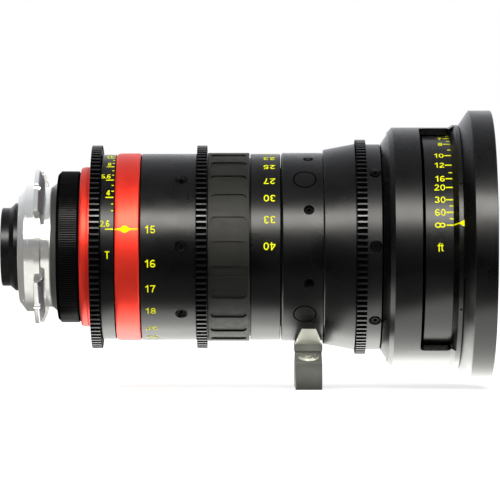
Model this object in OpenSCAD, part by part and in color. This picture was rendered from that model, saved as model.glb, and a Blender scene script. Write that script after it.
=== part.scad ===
// Cinema zoom lens with iris, zoom and focus rings, in the class of 15 to 40 mm.
// +X runs along the optical axis to the front and +Z is up.
// The origin is the centre of the mount's flange face.
// Angles round the axis are counted from the near side, -Y, upwards.

/* [Camera mount] */
// Diameter of the spigot that enters the camera
spigot_d = 54; // [53:0.1:58]
// Length of the spigot's full diameter behind the flange
spigot_land = 4.2; // [3:0.1:5]
// Whole length of the spigot behind the flange
spigot_len = 7.1; // [6:0.1:9]
// How far the rounded nose of the spigot draws in
nose_draw = 3.5; // [2:0.1:3.6]
// Wing height above the flange's root
wing_height = 5; // [3:0.1:7]
// Step of the flange's root above the spigot
root_step = 3; // [2:0.1:4]
// Thickness of the wings at their rim
wing_rim = 2; // [1.6:0.1:3]
// Thickness of the wings at their root
wing_root_t = 3.9; // [3.4:0.1:4.6]
// Thickness of the flange between the wings
root_t = 2.3; // [2:0.1:3]
// Length of the mount in front of its flange face, with its neck
flange_t = 6; // [5:0.1:7]
// Angle that one wing covers
wing_angle = 40; // [30:1:50]
// Diameter of the index notch in each wing
notch_d = 3; // [2:0.1:4]

/* [Rear end] */
// Radius of the rear barrel that passes through the mount
nose_r = 18.3; // [17:0.1:19]
// Radius of the rear barrel's narrow tip
tip_r = 16.3; // [15:0.1:17]
// Length of the rear barrel behind the flange
nose_len = 14.6; // [12:0.1:18]
// Length of the rear barrel in front of the flange
nose_inner_len = 19; // [16:0.1:20]
// Radius of the neck in front of the mount
neck_r = 25.1; // [24.5:0.1:27]
// Length of the flare between the mount and the lock ring
neck_len = 3; // [2.6:0.1:6]
// Length of the straight part before the flare
neck_straight = 0.5; // [0.3:0.1:1.5]
// Radius of the flare where it meets the lock ring
flare_r = 27.2; // [26.8:0.1:28]
// Radius of the lock ring over its knurling
lock_ring_r = 31.6; // [31.2:0.1:34]
// Length of the lock ring
lock_len = 9.2; // [7:0.1:12]
// Bevel of the lock ring's rear edge
lock_bevel = 1; // [0.5:0.1:1.5]
// Number of grooves in the knurling
knurls = 200; // [120:1:240]
// Depth of the knurling
knurl_depth = 0.35; // [0.2:0.05:0.5]
// Length of the red trim ring
trim_len = 4.2; // [3:0.1:6]
// Wall of the red trim ring
trim_wall = 3.35; // [2.5:0.05:4]

/* [Core] */
// Bore that the moving groups slide in
core_bore_d = 61; // [58:0.5:64]
// Wall of the core
core_wall = 2.5; // [2:0.1:3]
// Step of the seat under the iris ring
seat_step = 0.4; // [0.2:0.1:0.8]
// Length by which the core enters the front core
core_joint_len = 8; // [6:0.5:12]

/* [Iris] */
// Wall of the aperture scale ring
iris_wall = 5; // [4:0.1:6]
// Length of the aperture scale
iris_scale_len = 5.6; // [5.4:0.1:8]
// Height of the iris gear above its ring
iris_gear_stand = 3.9; // [3:0.1:5]
// Turn of the iris ring from fully open to closed
iris_turn = 90; // [80:1:95]
// Radius of the aperture when it is fully open
open_r = 13.5; // [12:0.1:14]
// Angle that each blade swings through
blade_swing = 28; // [24:0.5:29]
// Number of blades, each of which is a named piece
blades = 9; // [9:1:9]
// Width of a blade
blade_w = 9; // [8:0.1:9.2]
// Thickness of a blade
blade_t = 0.2; // [0.15:0.01:0.24]
// Spacing of the blades along the axis
blade_pitch = 0.34; // [0.3:0.01:0.4]
// Radius of the circle that the blades pivot on
pivot_r = 24; // [23.6:0.1:24.4]
// Diameter of the blades' pins
blade_pin_d = 0.9; // [0.8:0.05:1]
// Thickness of the ring that drives the blades
iris_cam_t = 2.4; // [2.2:0.1:3]
// Diameter of the pin between the iris ring and the blades' cam ring
drive_pin_d = 1.8; // [1.4:0.1:2]

/* [Index ring] */
// Length of the red index ring
index_len = 10; // [8:0.1:14]
// Wall of the red index ring at its front
index_wall = 5.65; // [4.5:0.05:7]
// Length of its rounded rear edge
index_bevel_len = 2.6; // [1:0.1:4]
// Height of its rounded rear edge
index_bevel = 0.8; // [0.3:0.1:1.5]

/* [Zoom] */
// Wall of the cam tube
cam_wall = 2.3; // [2:0.1:3]
// Wall of the zoom ring
zoom_wall = 3.45; // [3:0.05:5]
// Length of the zoom ring's plain part behind its gear
zoom_plain_len = 23; // [20:0.5:30]
// Length of the rubber grip
grip_len = 17.3; // [14:0.1:24]
// Height of the rubber grip above the ring
grip_stand = 0.4; // [0:0.05:1]
// Number of recesses round the grip
grip_pockets = 24; // [16:1:30]
// Length of a recess
pocket_len = 15; // [10:0.1:15.5]
// Width of a recess
pocket_w = 4.4; // [3:0.1:5]
// Depth of a recess
pocket_depth = 0.7; // [0.3:0.05:1]
// Length of the ring with the second scale
zoom_front_len = 12.4; // [10:0.1:16]
// Height of the zoom gear above its ring
zoom_gear_stand = 3.5; // [3:0.1:5]
// Depth of the seat under the gear and the grip
seat_depth = 1.7; // [1.4:0.05:1.8]
// Turn of the zoom ring from wide to long
zoom_turn = 170; // [150:1:172]
// Travel of the variator group
variator_travel = 16; // [12:0.5:16]
// Travel of the compensator group
compensator_travel = 7; // [6.8:0.1:7.2]
// Diameter of the zoom rollers
roller_d = 3.2; // [2.5:0.1:3.3]

/* [Support ring] */
// Length of the fixed support ring
support_len = 17; // [16:0.5:22]
// Wall of the support ring
support_wall = 1.75; // [1.5:0.05:3]
// Diameter of the flush plugs
plug_d = 9.6; // [6:0.1:10]
// Height of the step inside the front core
joint_step = 2; // [1.6:0.1:3]
// Wall of the front core
front_core_wall = 2.5; // [2.2:0.1:3.5]

/* [Focus] */
// Wall of the focus ring at its rear edge
focus_wall = 3; // [2.8:0.1:4]
// Growth of its radius along the cone
focus_flare = 2.4; // [1:0.1:3]
// Length of the cone
focus_cone_len = 13.2; // [12:0.1:16]
// Length of the collar in front of the gear
collar_len = 6.2; // [5.6:0.1:9]
// Height of the focus gear above its collar
focus_gear_stand = 2; // [1.6:0.1:3]
// Turn of the focus ring from infinity to its nearest distance
focus_turn = 320; // [300:1:325]
// Travel of the focusing group
focus_travel = 12; // [10:0.5:12]
// Diameter of the focus rollers
focus_roller_d = 3; // [2:0.1:3]

/* [Gears] */
// Module of the three gear rings
gear_module = 0.8; // [0.8:0.1:0.8]
// Width of the gears' teeth
gear_w = 4.1; // [3.5:0.1:6]

/* [Window cover] */
// Radius of the scale drum
drum_r = 46.6; // [46:0.1:48]
// Wall of the scale drum
drum_wall = 2; // [1.5:0.1:2.5]
// Gap between the drum and the cover
drum_gap = 0.6; // [0.4:0.1:1]
// Wall of the cover
cover_wall = 2.7; // [2:0.1:4]
// Length of the cover with its lip
cover_len = 32.3; // [32:0.1:38]
// Length of the lip in front of the window
lip_len = 2; // [1.5:0.1:4]
// Height of the lip above the cover
lip_height = 1.1; // [0.6:0.1:2]
// Length of the slope between the window and the lip
slope_len = 2.1; // [1.5:0.1:3]
// Length of the window along the axis
window_len = 12.7; // [8:0.1:14]
// Half of the angle that the window covers
window_half_angle = 70; // [40:1:80]
// Angle of the window's middle above the near side
window_angle = 11; // [0:1:20]

/* [Front] */
// Diameter of the front ring
front_d = 114; // [113:0.5:118]
// Length of the front ring's cylinder
front_len = 9.4; // [9:0.1:14]
// Length of the cone behind it
cone_len = 4.1; // [3:0.1:6]
// Radius of the front glass
front_glass_r = 46; // [44:0.1:46.5]

/* [Support foot] */
// Width of the foot along the axis
foot_w = 11.6; // [10:0.1:16]
// Height of the saddle's sloping cheeks
cheek_h = 6.7; // [5:0.1:8]
// Distance of the cross bar's end from the middle
bar_half = 25.2; // [22:0.1:30]
// Radius of the cross bar's ends
bar_r = 5.65; // [5:0.05:7]
// Diameter of the threaded hole in the cross bar
foot_thread_d = 5.1; // [5.1:0.1:8]
// Depth of the threaded hole
foot_thread_depth = 9; // [6:0.5:10]

/* [Fasteners] */
// Diameter of the radial screws
screw_d = 3; // [2.5:0.1:3.2]
// Diameter of the countersinks round the radial screws
sink_d = 5.3; // [4.4:0.1:6]
// Diameter of the mount screws
mount_screw_d = 2; // [1.6:0.1:2]
// Diameter of the cover's set screws
set_screw_d = 1; // [0.8:0.1:1.4]

/* [Hidden] */
$fn = 96;
// Gap between faces and bores of pieces that are fixed together
fit = 0.05;
// Radial gap of a bearing surface that turns or slides
running = 0.1;
// Visible gap along the axis beside a ring that turns
ring_gap = 0.4;
// Length by which cuts overrun a surface
over = 1;
// Small edge break
edge = 0.3;
// Lip that a lens or a ring rests on
lip = 1;
// Lip behind the middle lenses
middle_lip = 1.2;
// Clearance between the iris base and the core's web
base_gap = 1.4;
// Thickness of the iris base
base_t = 2;
// Thickness of the iris retaining ring
iris_retainer_t = 1.5;
// Rim of the iris base inside its open aperture
base_rim = 1;
// Wall between the zoom slots' ends and the zoom ring's rear face
compensator_inset = 2.4;
// Difference of radius between the zoom groups' cells and their lenses
zoom_cell_wall = 4.2;
// Half lengths of the zoom groups' cells
variator_half = 6.5;
compensator_half = 3.8;
// Wall between the focus grooves' ends and the focus ring's rear face
focus_inset = 2.2;
// Difference of radius between the focus cell and its lenses
focus_cell_wall = 3.4;
// Length of the focus cell behind and in front of its rollers
focus_cell_rear = 6.5;
focus_cell_front = 10;
// Difference of radius between the core's bore and the rear group's lenses
master_cell_wall = 9;
// Depth of the rollers' holes in their cells
roller_hole_depth = 2.6;
// Depth of the rollers in their holes
roller_depth = 2.5;
// Length of the drum's narrow rear part
drum_neck_len = 5.4;
// Thickness of the drum's web
drum_web_t = 2.4;
// Distance from the drum's web to the front barrel
front_barrel_gap = 1;
// Length by which the front barrel grips the front core
front_joint_len = 5;
// Wall of the front barrel
front_barrel_wall = 2.5;
// Gap between the drum and the front barrel
front_barrel_clear = 1.1;
// Depth of the radial screws' countersinks
screw_sink_depth = 1;
// Distances of the radial screws and plugs from the ends of their rings
zoom_screw_inset = 6.2;
support_screw_inset = 11.1;
plug_inset = 9.5;
focus_screw_inset = 2.8;
// Depth by which the wings reach into the mount's body
wing_foot = 1;
// Height of the wings' steep root
wing_root_h = 1.2;
// Length of the focus and iris rings' shoulders beside their gears
shoulder_gap = 0.2;

// Stations along the axis, from the flange to the front
x_lock = flange_t + neck_len;
x_joint = x_lock + lock_len;
x_trim = x_joint + ring_gap;
x_trim_end = x_trim + trim_len;
x_iris_gear = x_trim_end + ring_gap;
x_iris_scale = x_iris_gear + gear_w + shoulder_gap;
x_index = x_iris_scale + iris_scale_len + ring_gap;
x_zoom = x_index + index_len + ring_gap;
x_zoom_gear = x_zoom + zoom_plain_len;
x_grip = x_zoom_gear + gear_w + ring_gap;
x_zoom_front = x_grip + grip_len + ring_gap;
x_zoom_end = x_zoom_front + zoom_front_len;
x_support = x_zoom_end + ring_gap;
x_support_end = x_support + support_len;
x_focus = x_support_end + ring_gap;
x_focus_gear = x_focus + focus_cone_len + shoulder_gap;
x_focus_end = x_focus_gear + gear_w + collar_len;
x_cover = x_focus_end + ring_gap;
x_cover_end = x_cover + cover_len;
x_slope = x_cover_end - lip_len - slope_len;
x_cone_end = x_cover_end + cone_len;
x_front_end = x_cone_end + front_len;

// Radii of the mount and the rear end
spigot_r = spigot_d / 2;
root_r = spigot_r + root_step;
wing_r = root_r + wing_height;
nose_face_r = spigot_r - nose_draw;
rear_bore_r = nose_r + fit;
lock_seat_r = flare_r;

// Radii of the fixed core and of what turns on it
core_bore_r = core_bore_d / 2;
core_r = core_bore_r + core_wall;
iris_seat_r = core_r + seat_step;
trim_seat_r = iris_seat_r - trim_wall - fit;
iris_r = iris_seat_r + running + iris_wall;
index_r = iris_seat_r + fit + index_wall;
cam_bore_r = core_r + running;
cam_r = cam_bore_r + cam_wall;
zoom_bore_r = cam_r + fit;
zoom_r = zoom_bore_r + zoom_wall;
zoom_seat_r = zoom_r - seat_depth;
grip_r = zoom_r + grip_stand;

// Radii of the front core and the focus ring
focus_bore_r = core_r + joint_step;
front_core_r = focus_bore_r + front_core_wall;
support_r = front_core_r + fit + support_wall;
focus_rear_bore_r = front_core_r + running;
focus_rear_r = focus_rear_bore_r + focus_wall;
focus_cone_r = focus_rear_r + focus_flare;
collar_r = focus_cone_r - edge / 2;
focus_seat_r = focus_rear_r;

// Radii of the drum, the cover and the front
drum_bore_r = drum_r - drum_wall;
front_barrel_r = drum_bore_r - front_barrel_clear;
cover_bore_r = drum_r + drum_gap;
cover_r = cover_bore_r + cover_wall;
lip_r = cover_r + lip_height;
front_r = front_d / 2;
neck_drum_r = collar_r - 2 * ring_gap - drum_gap;
cover_rear_r = collar_r + ring_gap / 2;

// Teeth, counted from the ring that carries each gear
iris_teeth = round(2 * (iris_r + iris_gear_stand) / gear_module) - 2;
zoom_teeth = round(2 * (zoom_r + zoom_gear_stand) / gear_module) - 2;
focus_teeth = round(2 * (collar_r + focus_gear_stand) / gear_module) - 2;
pressure_angle = 20;

// Iris: base, blades, cam ring and retaining ring lie one behind the other
stack_len = (blades - 1) * blade_pitch + blade_t;
x_base = x_trim_end + base_gap;
x_blades = x_base + base_t + blade_pitch;
x_cam_ring = x_blades + stack_len + blade_pitch;
x_iris_retainer = x_cam_ring + iris_cam_t + running;
web_t = x_base - x_trim_end;
base_bore_r = open_r + base_rim;
blade_r = open_r + blade_w;
blade_arc = 115;
ear_share = 2.4;
tail_share = 1.4;
ear_r = min(ear_share * blade_pin_d, core_bore_r - pivot_r - 2 * running);
tail_r = tail_share * blade_pin_d;
tail_angle = -20;
tail_start_r = blade_r + blade_pin_d;
x_drive_pin = x_cam_ring + iris_cam_t / 2;
drive_pin_angle = -100;
cam_slot_gap = running;
pin_depth = base_t * 0.6;
blade_ratio = blade_swing / iris_turn;

// Zoom: cells, rollers and slots
slot_gap = running;
cell_r = core_bore_r - running;
x_variator_roller = x_zoom_front - 2 * slot_gap;
x_compensator_roller = x_zoom + roller_d + compensator_inset;
roller_top_r = cam_r - 2 * running;
variator_first = 30;
compensator_first = 90;
group_arms = 3;
zoom_lens_r = cell_r - zoom_cell_wall;
x_zoom_cam = x_index + index_len + ring_gap + running;
x_zoom_cam_end = x_zoom_end - running;

// Focus: cell, rollers and grooves
focus_first = 60;
focus_cell_r = focus_bore_r - running;
groove_r = focus_rear_bore_r + focus_wall / 2;
focus_roller_top_r = groove_r - 3 * running;
x_focus_roller = x_focus + focus_roller_d + focus_inset;
focus_lens_r = focus_cell_r - focus_cell_wall;

// Front carrier
x_core_end = x_support + core_joint_len;
x_drum_web = x_cover + drum_neck_len;
x_front_barrel = x_drum_web + drum_web_t + front_barrel_gap;
x_front_core_end = x_front_barrel + front_joint_len;
middle_lens_r = front_barrel_r - front_barrel_wall - fit;
front_seat_r = front_glass_r + fit;

// Radial screws
radial_screws = 8;
// Angle that puts the support ring's screws between the others
half_turn = 180 / radial_screws;
screw_hole_d = screw_d + 3 * running;
support_sink_d = screw_d + 13 * running;
x_zoom_screws = x_zoom_gear - zoom_screw_inset;
x_support_screws = x_support + support_screw_inset;
x_plugs = x_support + plug_inset;
x_focus_screws = x_focus_end - focus_screw_inset;
plugs = 4;
mount_screws_n = 6;
mount_screw_circle_r = (rear_bore_r + nose_face_r) / 2;
mount_screw_head_r = mount_screw_d * 0.9;
mount_screw_len = spigot_len + flange_t + 1.5 * mount_screw_d;
cover_screws_n = 6;

// A turned piece: the profile's points are [radius, place along the axis]
module turned(profile) {
    rotate([0, 90, 0]) rotate_extrude() polygon(profile);
}

// A turned piece that covers only an angle, centred on the near side
module turned_sector(profile, angle) {
    rotate([0, 90, 0]) rotate([0, 0, -90 - angle / 2])
        rotate_extrude(angle = angle) polygon(profile);
}

function ring_profile(x0, x1, bore, r) = [[bore, x0], [r, x0], [r, x1], [bore, x1]];

// A plain tube with broken outer edges
module sleeve(x0, x1, bore, r, rear_edge = 0, front_edge = 0) {
    turned([[bore, x0], [r - rear_edge, x0], [r, x0 + rear_edge],
        [r, x1 - front_edge], [r - front_edge, x1], [bore, x1]]);
}

module disc(x0, x1, r) {
    translate([x0, 0, 0]) rotate([0, 90, 0]) cylinder(h = x1 - x0, r = r);
}

// Copies spread evenly round the axis, the first at an angle above the near side
module around(count, first = 0) {
    for (i = [0 : count - 1]) rotate([-first - 360 * i / count, 0, 0]) children();
}

// A round bar that points away from the axis on the near side
module radial(x, r0, r1, d) {
    translate([x, 0, 0]) rotate([90, 0, 0]) translate([0, 0, r0])
        cylinder(h = r1 - r0, d = d);
}

// A cone that points away from the axis on the near side
module radial_cone(x, r0, r1, d0, d1) {
    translate([x, 0, 0]) rotate([90, 0, 0]) translate([0, 0, r0])
        cylinder(h = r1 - r0, d1 = d0, d2 = d1);
}

// A slot with round ends, cut along the axis on the near side
module radial_slot(x0, x1, r0, r1, w) {
    radial(x0, r0, r1, w);
    radial(x1, r0, r1, w);
    translate([x0, -r1, -w / 2]) cube([x1 - x0, r1 - r0, w]);
}

// A flat sketch laid across the axis: its X becomes Y and its Y becomes Z
module across(x) {
    translate([x, 0, 0]) rotate([90, 0, 90]) children();
}

// A point on a helix that starts on the near side
function on_helix(x, r, turn) = [x, -r * cos(turn), -r * sin(turn)];

// A slot that winds round the axis, with round ends
module helical_slot(x0, x1, turn, r0, r1, w, steps) {
    if (turn < 0) mirror([0, 0, 1]) winding_slot(x0, x1, -turn, r0, r1, w, steps);
    else winding_slot(x0, x1, turn, r0, r1, w, steps);
}

module winding_slot(x0, x1, turn, r0, r1, w, steps) {
    h = w / 2;
    points = [for (i = [0 : steps]) let (x = x0 + (x1 - x0) * i / steps, a = turn * i / steps)
        each [on_helix(x - h, r0, a), on_helix(x - h, r1, a),
            on_helix(x + h, r1, a), on_helix(x + h, r0, a)]];
    last = 4 * steps;
    sides = [for (i = [0 : steps - 1], k = [0 : 3])
        let (a = 4 * i + k, b = 4 * i + (k + 1) % 4)
        each [[a, b, b + 4], [a, b + 4, a + 4]]];
    ends = [[3, 2, 1], [3, 1, 0], [last, last + 1, last + 2], [last, last + 2, last + 3]];
    polyhedron(points, concat(sides, ends));
    radial(x0, r0 - fit, r1 + fit, w + 2 * fit);
    rotate([turn, 0, 0]) radial(x1, r0 - fit, r1 + fit, w + 2 * fit);
}

// Depth of a lens surface at radius r, measured from its middle
function sag(curve, r) = curve == 0 ? 0 : abs(curve) - sqrt(curve * curve - r * r);

// Points of a lens face from its rim to the axis; side is -1 at the rear, 1 in front
lens_steps = 12;
function lens_face(x_rim, r, curve, side) = let (
    out = side * (curve < 0 ? -1 : 1),
    steps = curve == 0 ? 1 : lens_steps)
    [for (i = [steps : -1 : 0]) let (here = r * i / steps)
        [here, x_rim + out * (sag(curve, r) - sag(curve, here))]];

// A lens: its rim starts at x and is t thick; a curve above 0 bulges, below 0 is hollow
module lens(x, t, r, rear, front) {
    rear_points = lens_face(x, r, rear, -1);
    front_points = lens_face(x + t, r, front, 1);
    turned(concat(front_points, [for (i = [len(rear_points) - 1 : -1 : 0]) rear_points[i]]));
}

// A row of lenses is a list of [least thickness, rear curve, front curve], as shares of r
function bulge(curve_share, r) = sign(curve_share) * sag(curve_share * r, r);
function rim_t(shares, r) = shares[0] * r
    + max(0, -bulge(shares[1], r) - bulge(shares[2], r));
function lens_x(x, r, row_shares, k) = k == 0 ? x
    : lens_x(x, r, row_shares, k - 1) + rim_t(row_shares[k - 1], r) + 2 * fit
        + max(0, bulge(row_shares[k - 1][2], r) + bulge(row_shares[k][1], r));

// Lenses one behind the other, the first resting on a lip whose front face is at x_lip
module lens_row(x_lip, r, row_shares, lip) {
    first = row_shares[0][1];
    lift = first > 0 ? sag(first * r, r) - sag(first * r, r - lip) : 0;
    color("lightsteelblue", 0.5) for (k = [0 : len(row_shares) - 1])
        lens(lens_x(x_lip + fit + lift, r, row_shares, k), rim_t(row_shares[k], r), r,
            row_shares[k][1] * r, row_shares[k][2] * r);
}

// Half of the angle that an involute tooth covers at radius r
function tooth_half_angle(teeth, r) = let (
    pitch_r = gear_module * teeth / 2,
    here = acos(pitch_r * cos(pressure_angle) / r))
    90 / teeth + tan(pressure_angle) * 180 / PI - pressure_angle
        - tan(here) * 180 / PI + here;

function gear_tip_r(teeth) = gear_module * (teeth + 2) / 2;
function gear_root_r(teeth) = gear_module * (teeth - 2.5) / 2;

// Outline of a gear: each flank has its root, pitch and tip point
function gear_outline(teeth) = let (
    flank_r = [gear_root_r(teeth), gear_module * teeth / 2, gear_tip_r(teeth)])
    [for (i = [0 : teeth - 1], k = [0 : 5]) let (
        r = flank_r[k < 3 ? k : 5 - k],
        a = 360 * i / teeth + (k < 3 ? -1 : 1) * tooth_half_angle(teeth, r))
        [r * cos(a), r * sin(a)]];

module gear_teeth(x, teeth) {
    across(x) linear_extrude(gear_w) polygon(gear_outline(teeth));
}

// A socket screw that lies in a radial hole, its tip at r0 and its socket at r1
module socket_screw(x, r0, r1, d) {
    difference() {
        radial(x, r0, r1, d);
        translate([x, 0, 0]) rotate([90, 0, 0]) translate([0, 0, r1 - d / 2])
            cylinder(h = d, d = d * 0.6, $fn = 6);
    }
}

// The hole of a radial screw with its countersink at the surface r
module screw_hole(x, depth_r, r, sink) {
    radial(x, depth_r, r + over, screw_hole_d);
    radial_cone(x, r - screw_sink_depth, r + over, screw_hole_d,
        screw_hole_d + (sink - screw_hole_d) * (screw_sink_depth + over) / screw_sink_depth);
}

// Mount and rear end

module lens_mount() {
    color("gainsboro") difference() {
        union() {
            turned([[rear_bore_r, -spigot_len], [nose_face_r - edge, -spigot_len],
                [nose_face_r, edge - spigot_len], [spigot_r, -spigot_land], [spigot_r, 0],
                [root_r, 0], [root_r, root_t], [neck_r, root_t], [neck_r, flange_t],
                [rear_bore_r, flange_t]]);
            around(4, 45) turned_sector([[neck_r - wing_foot, 0], [wing_r - edge, 0],
                [wing_r, edge], [wing_r, wing_rim - edge], [wing_r - edge, wing_rim],
                [root_r + wing_root_h, wing_root_t - edge], [root_r, wing_root_t],
                [neck_r - wing_foot, wing_root_t]], wing_angle);
        }
        around(4, 45) translate([-over, -wing_r, 0]) rotate([0, 90, 0])
            cylinder(h = flange_t + 2 * over, d = notch_d);
        around(mount_screws_n, 30) translate([0, -mount_screw_circle_r, 0]) {
            disc(-spigot_len - over, flange_t + over, mount_screw_d / 2 + fit);
            disc(-spigot_len - over, mount_screw_d - spigot_len,
                mount_screw_head_r + fit);
        }
    }
}

module mount_screws() {
    color("silver") around(mount_screws_n, 30) translate([0, -mount_screw_circle_r, 0])
        difference() {
            union() {
                disc(-spigot_len + fit, mount_screw_d - spigot_len - fit,
                    mount_screw_head_r);
                disc(-spigot_len + edge, mount_screw_len - spigot_len,
                    mount_screw_d / 2);
            }
            translate([-spigot_len - over, 0, 0]) rotate([0, 90, 0])
                cylinder(h = over + mount_screw_d / 2, d = mount_screw_d * 0.9, $fn = 6);
        }
}

module rear_housing() {
    color("dimgray") difference() {
        turned([[rear_bore_r, flange_t + fit / 2], [neck_r, flange_t + fit / 2],
            [neck_r, flange_t + neck_straight], [flare_r, x_lock], [lock_seat_r, x_joint - fit],
            [rear_bore_r, x_joint - fit]]);
        around(mount_screws_n, 30) translate([0, -mount_screw_circle_r, 0])
            disc(flange_t - over, mount_screw_len - spigot_len + edge,
                mount_screw_d / 2 + fit);
    }
}

module lock_ring() {
    land = 2 * edge;
    land_r = lock_ring_r - knurl_depth - fit;
    knurling = [for (i = [0 : 2 * knurls - 1]) let (
        r = lock_ring_r - knurl_depth * (i % 2), a = 180 * i / knurls)
        [r * cos(a), r * sin(a)]];
    color("#1b1b1c") difference() {
        union() {
            sleeve(x_lock + fit, x_joint - fit, lock_seat_r + fit, land_r, lock_bevel, edge);
            across(x_lock + lock_bevel + edge)
                linear_extrude(lock_len - lock_bevel - edge - land) polygon(knurling);
        }
        disc(x_lock - over, x_joint + over, lock_seat_r + fit);
    }
}

tip_cone_len = 2.1;
tip_len = 3.5;
tip_wall = 3;
inner_wall = 2.3;
inner_depth = 11;
tip_bore_r = tip_r - tip_wall;
inner_bore_r = nose_r - inner_wall;
x_tip_lip = lip - nose_len;
x_inner_lip = nose_inner_len - inner_depth;
module rear_barrel() {
    x_seat = -nose_len + tip_len + tip_cone_len + lip;
    color("#161617") turned([[tip_bore_r - lip, -nose_len], [tip_r - edge, -nose_len],
        [tip_r, edge - nose_len], [tip_r, tip_len - nose_len],
        [nose_r, tip_len + tip_cone_len - nose_len], [nose_r, nose_inner_len],
        [inner_bore_r, nose_inner_len], [inner_bore_r, x_inner_lip],
        [inner_bore_r - lip, x_inner_lip], [inner_bore_r - lip, x_inner_lip - lip],
        [inner_bore_r, x_inner_lip - lip], [inner_bore_r, x_seat + lip],
        [tip_bore_r, x_seat], [tip_bore_r, x_tip_lip], [tip_bore_r - lip, x_tip_lip]]);
}

tip_row_shares = [[0.16, 4, 3]];
inner_row_shares = [[0.14, 3, -5], [0.12, -3, 4]];
rear_lens_r = inner_bore_r - fit;
module rear_elements() {
    lens_row(x_tip_lip, tip_bore_r - fit, tip_row_shares, lip);
    lens_row(x_inner_lip, rear_lens_r, inner_row_shares, lip);
}

// The ring bears on the front lens's rim and screws into the barrel's mouth
module rear_retaining_ring() {
    first = inner_row_shares[0][1] * rear_lens_r;
    last = inner_row_shares[1][2] * rear_lens_r;
    inner_r = inner_bore_r - 2 * lip;
    x_rim = lens_x(x_inner_lip + fit + sag(first, rear_lens_r)
        - sag(first, rear_lens_r - lip), rear_lens_r, inner_row_shares, 1)
        + rim_t(inner_row_shares[1], rear_lens_r);
    x0 = x_rim + sag(last, rear_lens_r) - sag(last, inner_r) + 2 * fit;
    color("#161617") sleeve(x0, nose_inner_len - edge, inner_r, inner_bore_r - fit);
}

trim_round = 1;
module rear_trim_ring() {
    r = trim_seat_r + trim_wall;
    round_len = trim_len / 2;
    bevel = [for (a = [0 : 15 : 90]) [r - trim_round + trim_round * sin(a),
        x_trim + round_len * (1 - cos(a))]];
    x_groove = x_trim + trim_len * 0.76;
    color("#d8382b") turned(concat([[trim_seat_r + fit, x_trim]], bevel,
        [[r, x_groove - edge / 2], [r - edge / 2, x_groove], [r, x_groove + edge / 2],
        [r, x_trim_end - fit], [trim_seat_r + fit, x_trim_end - fit]]));
}

// Core

// The slot that lets the iris drive pin swing through the core's wall
module drive_pin_slot() {
    w = drive_pin_d + 4 * running;
    rotate([iris_turn / 2 - drive_pin_angle, 0, 0]) turned_sector(
        ring_profile(x_drive_pin - w / 2, x_drive_pin + w / 2, core_bore_r - over,
            iris_seat_r + over), iris_turn + atan(fit));
    for (a = [0, iris_turn]) rotate([a - drive_pin_angle, 0, 0])
        radial(x_drive_pin, core_bore_r - over - fit, iris_seat_r + over + fit, w - 2 * fit);
}

module main_barrel() {
    color("#2a2a2c") difference() {
        turned([[rear_bore_r, x_joint], [trim_seat_r, x_joint],
            [trim_seat_r, x_trim_end], [iris_seat_r, x_trim_end],
            [iris_seat_r, x_zoom - ring_gap], [core_r, x_zoom - ring_gap],
            [core_r, x_core_end], [core_bore_r, x_core_end],
            [core_bore_r, x_trim_end + web_t - fit], [rear_bore_r, x_trim_end + web_t - fit]]);
        drive_pin_slot();
        around(group_arms, variator_first) radial_slot(
            x_variator_roller - variator_travel, x_variator_roller,
            core_bore_r - over, core_r + over, roller_d + 2 * slot_gap);
        around(group_arms, compensator_first) radial_slot(
            x_compensator_roller, x_compensator_roller + compensator_travel,
            core_bore_r - over, core_r + over, roller_d + 2 * slot_gap);
    }
}

// Iris

iris_sleeve_r = iris_r - seat_depth;

module iris_gear() {
    color("#1b1b1c") difference() {
        gear_teeth(x_iris_gear, iris_teeth);
        disc(x_iris_gear - over, x_iris_scale + over, iris_sleeve_r + fit);
    }
}

module iris_scale_ring() {
    bore = iris_seat_r + running;
    x_end = x_index - ring_gap;
    color("#1b1b1c") difference() {
        turned([[bore, x_iris_gear], [iris_sleeve_r, x_iris_gear],
            [iris_sleeve_r, x_iris_scale], [iris_r - edge, x_iris_scale],
            [iris_r, x_iris_scale + edge], [iris_r, x_end], [bore, x_end]]);
        rotate([-drive_pin_angle, 0, 0]) radial(x_drive_pin, bore - over,
            bore + iris_wall / 2, drive_pin_d + 2 * fit);
    }
}

// The pin joins the scale ring to the cam ring through the core's slot
module iris_drive_pin() {
    color("silver") rotate([-drive_pin_angle, 0, 0]) radial(x_drive_pin,
        cell_r - over, iris_seat_r + running + iris_wall / 2 - fit, drive_pin_d);
}

module iris_base() {
    color("#242426") difference() {
        turned(ring_profile(x_base, x_base + base_t, base_bore_r, core_bore_r - fit));
        for (i = [0 : blades - 1]) rotate([360 * i / blades, 0, 0])
            translate([0, pivot_r, 0]) disc(x_base + base_t - pin_depth,
                x_base + base_t + over, blade_pin_d / 2 + fit);
    }
}

// Where a blade's drive pin lies in the blade's own sketch, its pivot on the X axis
tail_point = [tail_start_r * cos(tail_angle), tail_start_r * sin(tail_angle)];
function turn_point(p, a) = [p[0] * cos(a) - p[1] * sin(a), p[0] * sin(a) + p[1] * cos(a)];

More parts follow.
